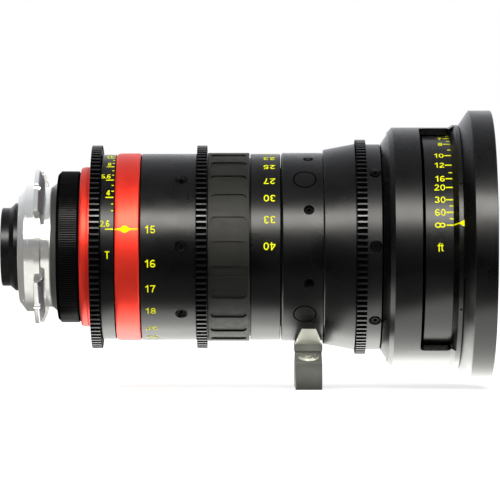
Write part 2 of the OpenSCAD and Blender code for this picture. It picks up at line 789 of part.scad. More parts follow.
// A blade: a crescent, an ear round its pivot, a tail to its drive pin, and both pins
module iris_blade(i) {
    x = x_blades + (i - 1) * blade_pitch;
    mid_r = (open_r + blade_r) / 2;
    tail_turn = atan2(tail_point[1], tail_point[0] - pivot_r);
    tail_len = norm(tail_point - [pivot_r, 0]);
    color("#3a3b3e") rotate([360 * (i - 1) / blades, 0, 0]) {
        across(x) linear_extrude(blade_t) {
            intersection() {
                difference() {
                    circle(r = blade_r);
                    circle(r = open_r);
                }
                polygon(concat([[0, 0]], [for (a = [0 : 23 : blade_arc])
                    2 * blade_r * [cos(a), sin(a)]]));
            }
            translate(mid_r * [cos(blade_arc), sin(blade_arc)]) circle(r = blade_w / 2);
            translate([mid_r, 0]) circle(r = blade_w / 2);
            translate([pivot_r, 0]) circle(r = ear_r);
            translate([mid_r, -ear_r]) square([pivot_r - mid_r, 2 * ear_r]);
            translate([pivot_r, 0]) rotate(tail_turn) translate([0, -tail_r])
                square([tail_len, 2 * tail_r]);
            translate(tail_point) circle(r = tail_r);
        }
        across(x_base + base_t - pin_depth + fit) translate([pivot_r, 0, 0])
            cylinder(h = x + blade_t / 2 - x_base - base_t + pin_depth - fit,
                d = blade_pin_d);
        across(x + blade_t / 2) translate(tail_point)
            cylinder(h = x_cam_ring + iris_cam_t - running - x - blade_t / 2,
                d = blade_pin_d);
    }
}

// The path of a blade's drive pin as the turning cam ring sees it
slot_steps = 12;
function cam_path(s) = let (
    swung = [pivot_r, 0] + turn_point(tail_point - [pivot_r, 0], s * blade_swing))
    turn_point(swung, -s * iris_turn);
function cam_side(s, side) = let (
    along = (cam_path(s + 0.01) - cam_path(s - 0.01)) * side,
    across_path = [-along[1], along[0]] / norm(along))
    cam_path(s) + (blade_pin_d / 2 + cam_slot_gap) * across_path;

// The round end of a slot, from one side to the other
function cam_end(s, side) = let (
    along = (cam_path(s + 0.01) - cam_path(s - 0.01)) * side / norm(
        cam_path(s + 0.01) - cam_path(s - 0.01)),
    across_path = [-along[1], along[0]])
    [for (a = [30 : 30 : 150]) cam_path(s) + (blade_pin_d / 2 + cam_slot_gap)
        * (cos(a) * across_path + sin(a) * along)];

module cam_slot() {
    far_side = [for (i = [0 : slot_steps]) cam_side(i / slot_steps, 1)];
    near_side = [for (i = [slot_steps : -1 : 0]) cam_side(i / slot_steps, -1)];
    polygon(concat(far_side, cam_end(1, 1), near_side, cam_end(0, -1)));
}

module iris_cam_ring() {
    color("#b48a3c") difference() {
        turned(ring_profile(x_cam_ring, x_cam_ring + iris_cam_t, base_bore_r, cell_r));
        for (i = [0 : blades - 1]) rotate([360 * i / blades, 0, 0])
            across(x_cam_ring - over) linear_extrude(iris_cam_t + 2 * over) cam_slot();
        rotate([-drive_pin_angle, 0, 0]) radial(x_drive_pin, cell_r - over - fit,
            core_r, drive_pin_d + 2 * fit);
    }
}

module iris_retaining_ring() {
    color("#242426") sleeve(x_iris_retainer, x_iris_retainer + iris_retainer_t,
        base_bore_r + base_rim, core_bore_r - fit);
}

module index_ring() {
    r0 = index_r - index_bevel;
    bevel = [for (a = [0 : 15 : 90]) [r0 + index_bevel * sin(a),
        x_index + index_bevel_len * (1 - cos(a))]];
    color("#d8382b") turned(concat([[iris_seat_r + fit, x_index]], bevel,
        [[index_r, x_zoom - 2 * ring_gap], [index_r - ring_gap, x_zoom - ring_gap],
        [iris_seat_r + fit, x_zoom - ring_gap]]));
}

// Groups that slide or stay in the core's bore

// A cell: a tube with a lip at its rear that the first lens rests on
module cell(x0, x1, bore, r, lip) {
    groove = edge;
    turned([[bore - lip, x0], [r - edge, x0], [r, x0 + edge], [r, x1 - edge],
        [r - edge, x1], [bore, x1], [bore, x1 - lip], [bore + groove, x1 - lip],
        [bore + groove, x1 - lip - groove], [bore, x1 - lip - groove],
        [bore, x0 + lip], [bore - lip, x0 + lip]]);
}

master_lens_r = cell_r - master_cell_wall;
x_master = x_iris_retainer + iris_retainer_t + ring_gap;
master_len = x_zoom - x_master - ring_gap;
module master_cell() {
    color("#242426") cell(x_master, x_master + master_len, master_lens_r + fit,
        core_bore_r - fit, lip);
}

master_row_shares = [[0.08, 0, -5], [0.1, -6, 6]];
module master_elements() {
    lens_row(x_master + lip, master_lens_r, master_row_shares, lip);
}

module rollers(x, first, r0, r1, d) {
    around(group_arms, first) difference() {
        radial(x, r0, r1, d);
        radial(x, r1 - d / 4, r1 + over, d / 2);
    }
}

module roller_holes(x, first, r, d) {
    around(group_arms, first) radial(x, r - roller_hole_depth, r + over, d + 2 * fit);
}

module compensator_cell() {
    color("#242426") difference() {
        cell(x_compensator_roller - compensator_half, x_compensator_roller + compensator_half,
            zoom_lens_r + fit, cell_r, lip);
        roller_holes(x_compensator_roller, compensator_first, cell_r, roller_d);
    }
}

compensator_row_shares = [[0.06, 7, -5], [0.05, 0, 7]];
module compensator_elements() {
    lens_row(x_compensator_roller - compensator_half + lip, zoom_lens_r,
        compensator_row_shares, lip);
}

module compensator_rollers() {
    color("goldenrod") rollers(x_compensator_roller, compensator_first,
        cell_r - roller_depth, roller_top_r, roller_d);
}

module variator_cell() {
    color("#242426") difference() {
        cell(x_variator_roller - variator_half, x_variator_roller + variator_half,
            zoom_lens_r + fit, cell_r, lip);
        roller_holes(x_variator_roller, variator_first, cell_r, roller_d);
    }
}

variator_row_shares = [[0.06, 0, -4], [0.06, -5, 5], [0.08, -6, 7]];
module variator_elements() {
    lens_row(x_variator_roller - variator_half + lip, zoom_lens_r, variator_row_shares,
        lip);
}

module variator_rollers() {
    color("goldenrod") rollers(x_variator_roller, variator_first,
        cell_r - roller_depth, roller_top_r, roller_d);
}

// Zoom ring

// The slots wind so that the groups travel as the ring turns against the axis
module zoom_cam() {
    w = roller_d + 2 * slot_gap;
    x_end = x_variator_roller - variator_travel;
    color("#8a8c90") difference() {
        turned(ring_profile(x_zoom_cam, x_zoom_cam_end, cam_bore_r, cam_r));
        around(group_arms, variator_first) helical_slot(x_variator_roller, x_end,
            zoom_turn, cam_bore_r - over, cam_r + over, w, 30);
        around(group_arms, compensator_first) helical_slot(x_compensator_roller,
            x_compensator_roller + compensator_travel, zoom_turn,
            cam_bore_r - over, cam_r + over, w, 30);
        around(radial_screws) radial(x_zoom_screws, cam_bore_r + cam_wall / 2,
            cam_r + over, screw_hole_d);
    }
}

zoom_step = 1;
module zoom_ring() {
    color("#1b1b1c") difference() {
        turned([[zoom_bore_r, x_zoom], [zoom_r - edge, x_zoom], [zoom_r, x_zoom + edge],
            [zoom_r, x_zoom_gear - edge], [zoom_r - edge, x_zoom_gear],
            [zoom_seat_r, x_zoom_gear], [zoom_seat_r, x_zoom_end - zoom_step],
            [zoom_bore_r, x_zoom_end - zoom_step]]);
        around(radial_screws) screw_hole(x_zoom_screws, zoom_bore_r - over, zoom_r, sink_d);
    }
}

module zoom_screws() {
    color("#101011") around(radial_screws) socket_screw(x_zoom_screws,
        cam_bore_r + cam_wall / 2 + fit, zoom_r - screw_sink_depth, screw_d);
}

module zoom_gear() {
    color("#1b1b1c") difference() {
        gear_teeth(x_zoom_gear + fit, zoom_teeth);
        disc(x_zoom_gear - over, x_grip + over, zoom_seat_r + fit);
    }
}

// The rubber has a recess on each of its panels
module zoom_grip() {
    x_mid = x_grip + grip_len / 2;
    half = (pocket_len - pocket_w) / 2;
    color("#3d3d3a") difference() {
        sleeve(x_grip, x_grip + grip_len, zoom_seat_r + fit, grip_r, edge, edge);
        difference() {
            around(grip_pockets) radial_slot(x_mid - half, x_mid + half,
                zoom_seat_r, grip_r + over, pocket_w);
            disc(x_grip, x_grip + grip_len, grip_r - pocket_depth);
        }
    }
}

module zoom_scale_ring() {
    color("#1b1b1c") sleeve(x_zoom_front, x_zoom_end, zoom_seat_r + fit, zoom_r,
        edge, edge);
}

// Support ring and foot

module support_ring() {
    bore = front_core_r + fit;
    color("#1b1b1c") difference() {
        sleeve(x_support, x_support_end, bore, support_r, 2 * edge, 0);
        around(radial_screws, half_turn) screw_hole(x_support_screws, bore - over, support_r,
            support_sink_d);
        around(plugs, 45) radial(x_plugs, bore - over, support_r + over, plug_d + 2 * fit);
    }
}

module barrel_screws() {
    color("#101011") around(radial_screws, half_turn) socket_screw(x_support_screws,
        front_core_r - front_core_wall / 2 + fit, support_r - screw_sink_depth, screw_d);
}

module barrel_plugs() {
    color("#1b1b1c") intersection() {
        around(plugs, 45) radial(x_plugs, front_core_r + 2 * fit, support_r + over, plug_d);
        disc(x_support, x_support_end, support_r - fit, $fn = 4 * $fn);
    }
}

// The foot in the plane across the axis, half of it: [distance from the middle, height]
foot_gap_r = support_r + fit;
foot_angle = 59.5;
cheek_top = [foot_gap_r * cos(foot_angle), -foot_gap_r * sin(foot_angle)];
pad_half = 9.6;
band_h = 1.1;
plate_h = 1.8;
neck_h = 4.3;
foot_inset = 11.3;
z_pad = cheek_top[1] - cheek_h;
z_plate = z_pad - band_h;
z_bar_top = z_plate - plate_h;
z_bar = z_bar_top - neck_h - bar_r;
shelf_out = bar_half - bar_r;
x_foot = x_support + foot_inset;

module foot_saddle(half) {
    side = [[0, z_plate], [half, z_plate], [half, z_pad],
        [cheek_top[0], cheek_top[1]], [0, cheek_top[1]]];
    polygon(concat(side, [for (i = [3 : -1 : 1]) [-side[i][0], side[i][1]]]));
}

module foot_crossbar() {
    polygon([[-shelf_out, z_bar + bar_r], [-shelf_out, z_bar - bar_r],
        [shelf_out, z_bar - bar_r], [shelf_out, z_bar + bar_r],
        [pad_half * 0.85, z_bar_top], [-pad_half * 0.85, z_bar_top]]);
}

shelf_angle = atan2(neck_h, shelf_out - pad_half * 0.85);
shelf_mid = [(shelf_out + pad_half * 0.85) / 2, z_bar_top - neck_h / 2];
foot_screw_r = 4.3;
foot_screw_head = 0.8;
foot_screw_hole = 1;

// Places a child on the middle of each sloping shelf, its Z square to the slope
module on_shelves() {
    for (side = [0, 180]) translate([x_foot, 0, 0]) rotate([0, 0, side])
        translate([0, -shelf_mid[0], shelf_mid[1]]) rotate([shelf_angle, 0, 0]) children();
}

module support_foot() {
    taper = foot_w / 4;
    color("#4a4a4a") difference() {
        union() {
            intersection() {
                across(x_foot - foot_w / 2) linear_extrude(foot_w) foot_saddle(pad_half);
                translate([x_foot, bar_half, 0]) rotate([90, 0, 0])
                    linear_extrude(2 * bar_half) polygon([[-foot_w / 2, z_plate - over],
                    [-foot_w / 2, z_pad], [-taper, cheek_top[1]], [taper, cheek_top[1]],
                    [foot_w / 2, z_pad], [foot_w / 2, z_plate - over]]);
            }
            across(x_foot - foot_w / 2) linear_extrude(foot_w)
                translate([-pad_half, z_bar_top]) square([2 * pad_half, plate_h]);
            across(x_foot - foot_w / 2 + edge) linear_extrude(foot_w - 2 * edge)
                foot_crossbar();
            for (side = [-1, 1]) translate([0, side * shelf_out, z_bar])
                disc(x_foot - foot_w / 2 + edge, x_foot + foot_w / 2 - edge, bar_r);
        }
        disc(x_foot - foot_w, x_foot + foot_w, foot_gap_r);
        on_shelves() translate([0, 0, -foot_screw_hole])
            cylinder(h = 3 * foot_screw_hole, r = foot_screw_r + fit);
        translate([x_foot, 0, z_bar - bar_r - over])
            cylinder(h = foot_thread_depth + over, d = foot_thread_d);
    }
}

foot_socket_share = 0.8;
module foot_screws() {
    color("silver") on_shelves() difference() {
        translate([0, 0, fit - foot_screw_hole])
            cylinder(h = foot_screw_head, r = foot_screw_r);
        translate([0, 0, -foot_screw_hole / 2])
            cylinder(h = foot_screw_hole, d = foot_screw_r * foot_socket_share, $fn = 6);
    }
}

// Front core and focus ring

module focus_barrel() {
    color("#2a2a2c") difference() {
        turned([[core_r + fit, x_support], [front_core_r, x_support],
            [front_core_r, x_front_core_end], [focus_bore_r, x_front_core_end],
            [focus_bore_r, x_core_end + fit], [core_r + fit, x_core_end + fit]]);
        around(group_arms, focus_first) radial_slot(x_focus_roller,
            x_focus_roller + focus_travel, focus_bore_r - over, front_core_r + over,
            focus_roller_d + 2 * slot_gap);
        around(radial_screws, half_turn) radial(x_support_screws,
            front_core_r - front_core_wall / 2, front_core_r + over, screw_hole_d);
    }
}

module focus_ring() {
    w = focus_roller_d + 2 * slot_gap;
    x_end = x_focus_end - fit;
    x_shoulder = x_focus + focus_cone_len;
    color("#1b1b1c") difference() {
        turned([[focus_rear_bore_r, x_focus], [focus_rear_r - edge, x_focus],
            [focus_rear_r, x_focus + edge], [focus_cone_r, x_shoulder - edge],
            [focus_cone_r - edge, x_shoulder], [focus_seat_r, x_shoulder],
            [focus_seat_r, x_end], [focus_rear_bore_r, x_end]]);
        around(group_arms, focus_first) helical_slot(x_focus_roller,
            x_focus_roller + focus_travel, -focus_turn, focus_rear_bore_r - over,
            groove_r, w, 54);
    }
}

module focus_gear() {
    x_collar = x_focus_gear + gear_w;
    color("#1b1b1c") difference() {
        union() {
            gear_teeth(x_focus_gear, focus_teeth);
            sleeve(x_collar - over, x_focus_end, focus_seat_r - over, collar_r, 0, edge);
        }
        disc(x_focus_gear - over, x_focus_end + over, focus_seat_r + fit);
        around(radial_screws) screw_hole(x_focus_screws, focus_seat_r - over, collar_r, sink_d);
    }
}

// Cup point screws that bear on the focus ring's sleeve
module focus_screws() {
    color("#101011") around(radial_screws) socket_screw(x_focus_screws,
        focus_seat_r + 3 * fit, collar_r - edge, screw_d);
}

module focus_cell() {
    color("#242426") difference() {
        cell(x_focus_roller - focus_cell_rear, x_focus_roller + focus_cell_front,
            focus_lens_r + fit, focus_cell_r, lip);
        roller_holes(x_focus_roller, focus_first, focus_cell_r, focus_roller_d);
    }
}

focus_row_shares = [[0.07, -4, -6], [0.1, -6, 5]];
module focus_elements() {
    lens_row(x_focus_roller - focus_cell_rear + lip, focus_lens_r, focus_row_shares, lip);
}

module focus_rollers() {
    color("goldenrod") rollers(x_focus_roller, focus_first, focus_cell_r - roller_depth,
        focus_roller_top_r, focus_roller_d);
}

// Drum, cover and front

module scale_drum() {
    bore = front_core_r + 3 * running;
    color("#1d1e20") turned([[bore, x_focus_end], [neck_drum_r, x_focus_end],
        [neck_drum_r, x_drum_web], [drum_r - edge, x_drum_web],
        [drum_r, x_drum_web + edge], [drum_r, x_slope], [drum_bore_r, x_slope],
        [drum_bore_r, x_drum_web + drum_web_t], [bore, x_drum_web + drum_web_t]]);
}

x_window = x_slope - window_len;
window_r = 1.6;

// The window in the cover: a sector with rounded corners
module window_cut(half_angle) {
    inner = cover_bore_r - over;
    outer = lip_r + over;
    corner = window_r / cover_r * 180 / PI;
    rotate([-window_angle, 0, 0]) {
        turned_sector(ring_profile(x_window, x_slope, inner, outer),
            2 * (half_angle - corner));
        turned_sector(ring_profile(x_window + window_r, x_slope - window_r, inner - fit,
            outer + fit), 2 * half_angle);
        for (a = [corner - half_angle, half_angle - corner], x = [x_window + window_r,
            x_slope - window_r]) rotate([a, 0, 0]) radial(x, inner - over / 2,
            outer + over / 2, 2 * window_r - edge);
    }
}

// The bevel on the window's front side, which carries the index line
module window_slope() {
    corner = window_r / cover_r * 180 / PI;
    rotate([-window_angle, 0, 0]) turned_sector([[cover_bore_r - fit, x_slope - over],
        [cover_bore_r - fit, x_slope], [lip_r + over, x_slope + slope_len * 1.25],
        [lip_r + over, x_slope - over]], 2 * (window_half_angle - corner));
}

cover_step = 0.7;
cover_bore_land = 0.9;
module front_cover() {
    step = cover_len / 12;
    x_lip = x_cover_end - lip_len;
    rear_bore_r = neck_drum_r + drum_gap;
    color("#1b1b1c") difference() {
        turned([[rear_bore_r, x_cover], [cover_rear_r, x_cover],
            [cover_bore_r, x_cover + step], [cover_bore_r + cover_step, x_cover + step],
            [cover_r, x_cover + 1.7 * step], [cover_r, x_slope],
            [lip_r, x_lip - edge], [lip_r, x_cover_end - edge], [lip_r - edge, x_cover_end],
            [cover_bore_r, x_cover_end], [cover_bore_r, x_drum_web - drum_gap],
            [rear_bore_r, x_cover + cover_bore_land]]);
        window_cut(window_half_angle);
        window_slope();
        around(cover_screws_n, 30) radial(x_cover_end - lip_len / 2, cover_bore_r - over,
            lip_r + over, set_screw_d + 2 * fit);
    }
}

module cover_screws() {
    color("#101011") around(cover_screws_n, 30) radial(x_cover_end - lip_len / 2,
        cover_bore_r - over + fit, lip_r - edge, set_screw_d);
}

module front_barrel() {
    r = front_barrel_r;
    bore = r - front_barrel_wall;
    x_flange = x_slope + drum_gap;
    color("#242426") difference() {
        turned([[front_core_r + fit, x_front_barrel], [r, x_front_barrel],
            [r, x_flange], [cover_bore_r - fit, x_flange],
            [cover_bore_r - fit, x_cover_end], [bore, x_cover_end],
            [bore, x_front_core_end + middle_lip],
            [bore - middle_lip, x_front_core_end + middle_lip],
            [bore - middle_lip, x_front_core_end + fit], [front_core_r + fit, x_front_core_end + fit]]);
        around(cover_screws_n, 30) radial(x_cover_end - lip_len / 2, cover_bore_r - over,
            lip_r + over, set_screw_d + 2 * fit);
    }
}

middle_row_shares = [[0.05, 0, -5], [0.07, -4, 6]];
module middle_elements() {
    lens_row(x_front_core_end + middle_lip, middle_lens_r, middle_row_shares, middle_lip);
}

front_rim_t = 4.2;
front_seat_len = 4;
dish_share = 0.726;
rim_share = 1 - dish_share;
dish_step_share = 0.09;
front_curve_share = 3.26;
front_curve = front_glass_r * front_curve_share;
x_glass = x_cover_end + edge;
x_glass_top = x_glass + front_rim_t;

x_dish = x_glass_top + front_seat_len;

// The ring's dish keeps its share of the wall between the glass and the outside
module front_ring() {
    wall = front_r - front_seat_r;
    dish_r = front_seat_r + wall * dish_share;
    rear_r = max(lip_r, front_seat_r + 2 * edge);
    step = dish_step_share * wall;
    color("#1b1b1c") turned([[front_seat_r, x_cover_end + fit], [rear_r - edge, x_cover_end + fit],
        [rear_r, x_cover_end + edge], [front_r - edge, x_cone_end],
        [front_r, x_cone_end + edge], [front_r, x_front_end - edge],
        [front_r - edge, x_front_end], [front_r - rim_share * wall + edge, x_front_end],
        [dish_r, x_front_end - edge], [dish_r, x_dish + 2 * step], [dish_r - step, x_dish + step],
        [front_seat_r + 2 * step, x_dish], [front_seat_r, x_dish]]);
}

module front_element() {
    color("lightsteelblue", 0.5) lens(x_glass, front_rim_t, front_glass_r, 0, front_curve);
}

// The ring screws into the front ring's bore and bears on the glass
module front_retaining_ring() {
    inner_r = front_glass_r - 2 * lip;
    x0 = x_glass_top + sag(front_curve, front_glass_r) - sag(front_curve, inner_r) + 2 * fit;
    color("#161617") turned([[inner_r, x0], [front_glass_r - fit, x0],
        [front_glass_r - fit, x_dish], [inner_r + lip, x_dish]]);
}

lens_mount();
mount_screws();
rear_housing();
lock_ring();
rear_barrel();
rear_elements();
rear_retaining_ring();
rear_trim_ring();
main_barrel();
iris_gear();
iris_scale_ring();
iris_drive_pin();
iris_base();
iris_blade(1);  // iris_blade_1
iris_blade(2);  // iris_blade_2
iris_blade(3);  // iris_blade_3
iris_blade(4);  // iris_blade_4
iris_blade(5);  // iris_blade_5
iris_blade(6);  // iris_blade_6
iris_blade(7);  // iris_blade_7
iris_blade(8);  // iris_blade_8
iris_blade(9);  // iris_blade_9
iris_cam_ring();
iris_retaining_ring();
index_ring();
master_cell();
master_elements();
zoom_ring();
zoom_gear();
zoom_grip();
zoom_scale_ring();
zoom_screws();
zoom_cam();
compensator_cell();
compensator_elements();
compensator_rollers();
variator_cell();
variator_elements();
variator_rollers();
support_ring();
barrel_screws();
barrel_plugs();
support_foot();
foot_screws();
focus_barrel();
focus_ring();
focus_gear();
focus_screws();
focus_cell();
focus_elements();
focus_rollers();
scale_drum();
front_cover();
cover_screws();
front_barrel();
middle_elements();
front_ring();
front_element();
front_retaining_ring();
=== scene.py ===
# %% [markdown]
# # A cinema zoom lens, dressed for the camera
# A cinema zoom is a stack of turned aluminium rings round groups of glass. The
# rings are already here as CAD solids, so this lesson gives them their finishes,
# paints the scales on them and lights them. Nothing is moved: every solid keeps
# its place, and each new piece is tied to the ring that carries it.

# %% Load the fixed frame
import math

import bmesh
import bpy
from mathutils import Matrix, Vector


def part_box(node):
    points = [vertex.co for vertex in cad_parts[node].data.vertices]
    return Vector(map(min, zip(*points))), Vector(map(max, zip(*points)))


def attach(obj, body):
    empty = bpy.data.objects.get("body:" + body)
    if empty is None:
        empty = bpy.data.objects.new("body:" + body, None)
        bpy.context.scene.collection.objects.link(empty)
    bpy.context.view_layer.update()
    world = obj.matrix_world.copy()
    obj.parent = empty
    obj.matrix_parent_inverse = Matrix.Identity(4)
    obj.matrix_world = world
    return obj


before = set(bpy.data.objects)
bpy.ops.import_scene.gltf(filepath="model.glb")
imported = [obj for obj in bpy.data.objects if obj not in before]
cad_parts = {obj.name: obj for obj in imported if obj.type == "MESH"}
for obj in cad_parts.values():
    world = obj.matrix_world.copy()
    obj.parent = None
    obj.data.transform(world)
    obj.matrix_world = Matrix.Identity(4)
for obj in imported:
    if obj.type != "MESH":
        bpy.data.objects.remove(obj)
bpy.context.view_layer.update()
scene = bpy.context.scene

# %% [markdown]
# ## Units and colours
# A maker thinks in millimetres and picks colours from a chart, while Blender
# works in metres and linear light. One constant and one function bridge that.

# %% Millimetres and sRGB colours
MM = 0.001


def srgb(code):
    """A colour such as #D8382B as linear light with full cover."""
    shares = [int(code[i:i + 2], 16) / 255 for i in (1, 3, 5)]
    linear = [c / 12.92 if c <= 0.04045 else ((c + 0.055) / 1.055) ** 2.4 for c in shares]
    return (*linear, 1.0)


print("mid grey is", [round(c, 3) for c in srgb("#808080")])

# %% [markdown]
# ## One way to add a node
# A finish is a small graph of nodes. Typing each node by hand is long, so one
# function adds a node, sets its values and links what feeds it. It serves every
# kind of node. Where a node is given in place of a socket, its first output is
# meant, which keeps the graphs short.

# %% The node helper


def connect(tree, node, inputs):
    """Sets a node's sockets to values, or links them to the sockets or nodes that feed them."""
    for key, value in inputs.items():
        if isinstance(value, bpy.types.Node):
            value = value.outputs[0]
        if isinstance(value, bpy.types.NodeSocket):
            tree.links.new(value, node.inputs[key])
        else:
            node.inputs[key].default_value = value


def add(tree, kind, inputs=None, **settings):
    """Adds a shader node with its settings and links."""
    node = tree.nodes.new("ShaderNode" + kind)
    for name, value in settings.items():
        setattr(node, name, value)
    connect(tree, node, inputs or {})
    return node


# The Mix node keeps a set of sockets for each kind of data
COLOUR_A, COLOUR_B, COLOUR_OUT = 6, 7, 2
VECTOR_A, VECTOR_B, VECTOR_OUT = 4, 5, 1
# MapRange takes a value, the reach that it comes in, and the range that it goes to
VALUE, FROM_LOW, FROM_HIGH, TO_LOW, TO_HIGH = range(5)
print("helpers ready")

# %% [markdown]
# ## What the tools leave on a surface
# Turned parts keep fine lines that run round the axis. They are drawn from real
# places on the part: the distance along the axis plus the distance from it. A
# wave would look machine perfect, so a one-dimensional noise gives the lines.

# %% Places and lathe lines
AWAY_FROM_AXIS = (0, 1, 1)
LINE_DETAIL = 3


def inside(made):
    """A finish's node tree, its surface shader and the point on the part, in metres."""
    tree = made.node_tree
    return tree, tree.nodes["Principled BSDF"], add(tree, "TexCoord").outputs["Object"]


def off_axis(tree, place):
    """Distance from the optical axis, in metres."""
    across = add(tree, "VectorMath", {0: place, 1: AWAY_FROM_AXIS}, operation="MULTIPLY")
    return add(tree, "VectorMath", {0: across}, operation="LENGTH").outputs["Value"]


def lathe_lines(tree, place, pitch):
    """Lines round the axis, pitch in millimetres, on barrels and on end faces."""
    along = add(tree, "SeparateXYZ", {0: place}).outputs["X"]
    walk = add(tree, "Math", {0: along, 1: off_axis(tree, place)}, operation="ADD")
    turns = add(tree, "Math", {0: walk, 1: 1 / (pitch * MM)}, operation="MULTIPLY")
    return add(tree, "TexNoise", {"W": turns, "Scale": 1, "Detail": LINE_DETAIL},
               noise_dimensions="1D")


print("lathe lines ready")

# %% [markdown]
# ## One recipe for a finish
# Most finishes here have the same three marks. A cloudy pattern some millimetres
# wide shifts the colour and the gloss, as the bath and the hands leave them.
# Blasting, moulding and anodising add a fine grain with no direction. Turning adds
# its lines. So one recipe makes them all, and each finish gives its real sizes.

# %% The recipe
# A noise mostly stays within this reach of its 0 to 1
NOISE_LOW, NOISE_HIGH = 0.3, 0.7


def finish(name, colours, sockets, cloud=None, rough=None, grain=None, lines=None):
    """A material with one surface shader; every size and depth is in millimetres.

    cloud is the size and detail of the pattern that blends the two colours and the
    two ends of rough. grain is the size, detail, depth and strength of fine bumps.
    lines is the pitch, depth and strength of the turning marks.
    """
    made = bpy.data.materials.new(name)
    made.use_nodes = True
    tree, surface, place = inside(made)
    connect(tree, surface, {"Base Color": srgb(colours[0]), **sockets})
    if cloud:
        size, detail = cloud
        clouds = add(tree, "TexNoise", {"Vector": place, "Scale": 1 / (size * MM),
                                        "Detail": detail})
        share = add(tree, "MapRange", {VALUE: clouds, FROM_LOW: NOISE_LOW, FROM_HIGH: NOISE_HIGH})
        blend = add(tree, "Mix", {0: share, COLOUR_A: srgb(colours[0]),
                                  COLOUR_B: srgb(colours[1])}, data_type="RGBA")
        connect(tree, surface, {"Base Color": blend.outputs[COLOUR_OUT]})
    if rough:
        gloss = add(tree, "MapRange", {VALUE: clouds, FROM_LOW: NOISE_LOW, FROM_HIGH: NOISE_HIGH,
                                       TO_LOW: rough[0], TO_HIGH: rough[1]})
        connect(tree, surface, {"Roughness": gloss})
    if grain:
        size, detail, depth, strength = grain
        spots = add(tree, "TexNoise", {"Vector": place, "Scale": 1 / (size * MM),
                                       "Detail": detail})
        bump = add(tree, "Bump", {"Height": spots, "Distance": depth * MM,
                                  "Strength": strength}, name="Grain")
        connect(tree, surface, {"Normal": bump})
    if lines:
        pitch, depth, strength = lines
        bump = add(tree, "Bump", {"Height": lathe_lines(tree, place, pitch), "Normal": bump,
                                  "Distance": depth * MM, "Strength": strength})
        connect(tree, surface, {"Normal": bump})
    return made


def variant(made, name):
    """A copy of a finish under its own name, to be changed further."""
    copied = made.copy()
    copied.name = name
    return copied


def feeder(surface, socket):
    """The socket that feeds one of the shader's inputs."""
    return surface.inputs[socket].links[0].from_socket


print("recipe ready")

# %% [markdown]
# ## Black anodised aluminium, satin
# The rings are turned, blasted with fine beads and dyed black in the anodising
# bath. Light meets a porous, dyed oxide that throws back far less than glass
# does, and the dye below swallows the rest. That asks for a dark base, no metal,
# an index well under the usual 1.5, and a roughness that keeps one broad band.

# %% Black anodising and its duller inner cousin
DYED_OXIDE_IOR = 1.2
# Real bead marks are 0.05 mm wide; they are drawn at 0.25 mm so that they show
BEADS = (0.25, 2, 0.004, 0.6)
barrel_black = finish("satin_black_anodised_aluminium", ("#040404", "#080809"),
                      {"IOR": DYED_OXIDE_IOR}, cloud=(14, 4), rough=(0.25, 0.32),
                      grain=BEADS, lines=(0.35, 0.003, 0.5))
inner_black = finish("matt_black_anodised_aluminium", ("#060607", "#0A0A0B"),
                     {"IOR": DYED_OXIDE_IOR}, cloud=(14, 4), rough=(0.57, 0.64),
                     grain=BEADS, lines=(0.5, 0.003, 0.5))
print(barrel_black.name, "and", inner_black.name)

# %% [markdown]
# ## Gear rings: the same black, worn at the tips
# Follow focus gears rub on the tooth tips until the dye thins and grey metal
# shows. A tip is known by its distance from the axis, so the wear needs no
# Below the tips the flanks and gaps get almost no gloss, as painted shade.
# The gaps between the teeth hold dust and grease, so they keep almost no gloss.
# The focus gear alone has a collar beyond its teeth, as glossy as the other rings.

# %% Gear rings
# An index of 1 throws nothing back
NO_GLOSS = 1.0
WORN_DEPTH, COLLAR_FADE = 0.25, 0.1
SHADED_GAP_IOR, TIP_IOR = 1.02, 1.27
GAP_ROUGH, TIP_ROUGH = 0.34, 0.24
GAP_BLACK, TIP_GREY = "#060607", "#1E1E20"


def gear_finish(name, tip_r, collar_x):
    """Gaps without gloss as painted shade, worn tips and a satin collar, if there is one; in
    millimetres.
    """
    made = finish(name, (GAP_BLACK,), {"IOR": DYED_OXIDE_IOR}, grain=BEADS)
    tree, surface, place = inside(made)
    reach = add(tree, "MapRange", {VALUE: off_axis(tree, place), FROM_HIGH: tip_r * MM,
                                   FROM_LOW: (tip_r - WORN_DEPTH) * MM})
    patches = add(tree, "TexNoise", {"Vector": place, "Scale": 1 / (3 * MM), "Detail": 3})
    patches = add(tree, "MapRange", {VALUE: patches, FROM_LOW: 0.35, FROM_HIGH: 0.65,
                                     TO_LOW: 0.1, TO_HIGH: 0.8})
    worn = add(tree, "Math", {0: reach, 1: patches}, operation="MULTIPLY")
    colour = add(tree, "Mix", {0: worn, COLOUR_A: srgb(GAP_BLACK), COLOUR_B: srgb(TIP_GREY)},
                 data_type="RGBA")
    rough = add(tree, "MapRange", {VALUE: worn, TO_LOW: GAP_ROUGH, TO_HIGH: TIP_ROUGH})
    # Painted shade: below the worn tips the gloss falls away, so the gaps read black
    gloss = add(tree, "MapRange", {VALUE: reach, TO_LOW: SHADED_GAP_IOR, TO_HIGH: TIP_IOR})
    if collar_x:
        along = add(tree, "SeparateXYZ", {0: place}).outputs["X"]
        collar = add(tree, "MapRange", {VALUE: along, FROM_LOW: collar_x * MM,
                                        FROM_HIGH: (collar_x + COLLAR_FADE) * MM,
                                        TO_LOW: NO_GLOSS, TO_HIGH: DYED_OXIDE_IOR})
        gloss = add(tree, "Math", {0: gloss, 1: collar}, operation="MAXIMUM")
    connect(tree, surface, {"Base Color": colour.outputs[COLOUR_OUT], "Roughness": rough,
                            "IOR": gloss})
    return made


# Each gear: how far its tips stand from the axis, and where its collar starts
gears = {"iris_gear": (42.4, None), "zoom_gear": (42.4, None), "focus_gear": (44.8, 136.8)}
gear_black = {node: gear_finish("worn_black_" + node, tip_r, collar_x)
              for node, (tip_r, collar_x) in gears.items()}
print(sorted(gear_black))
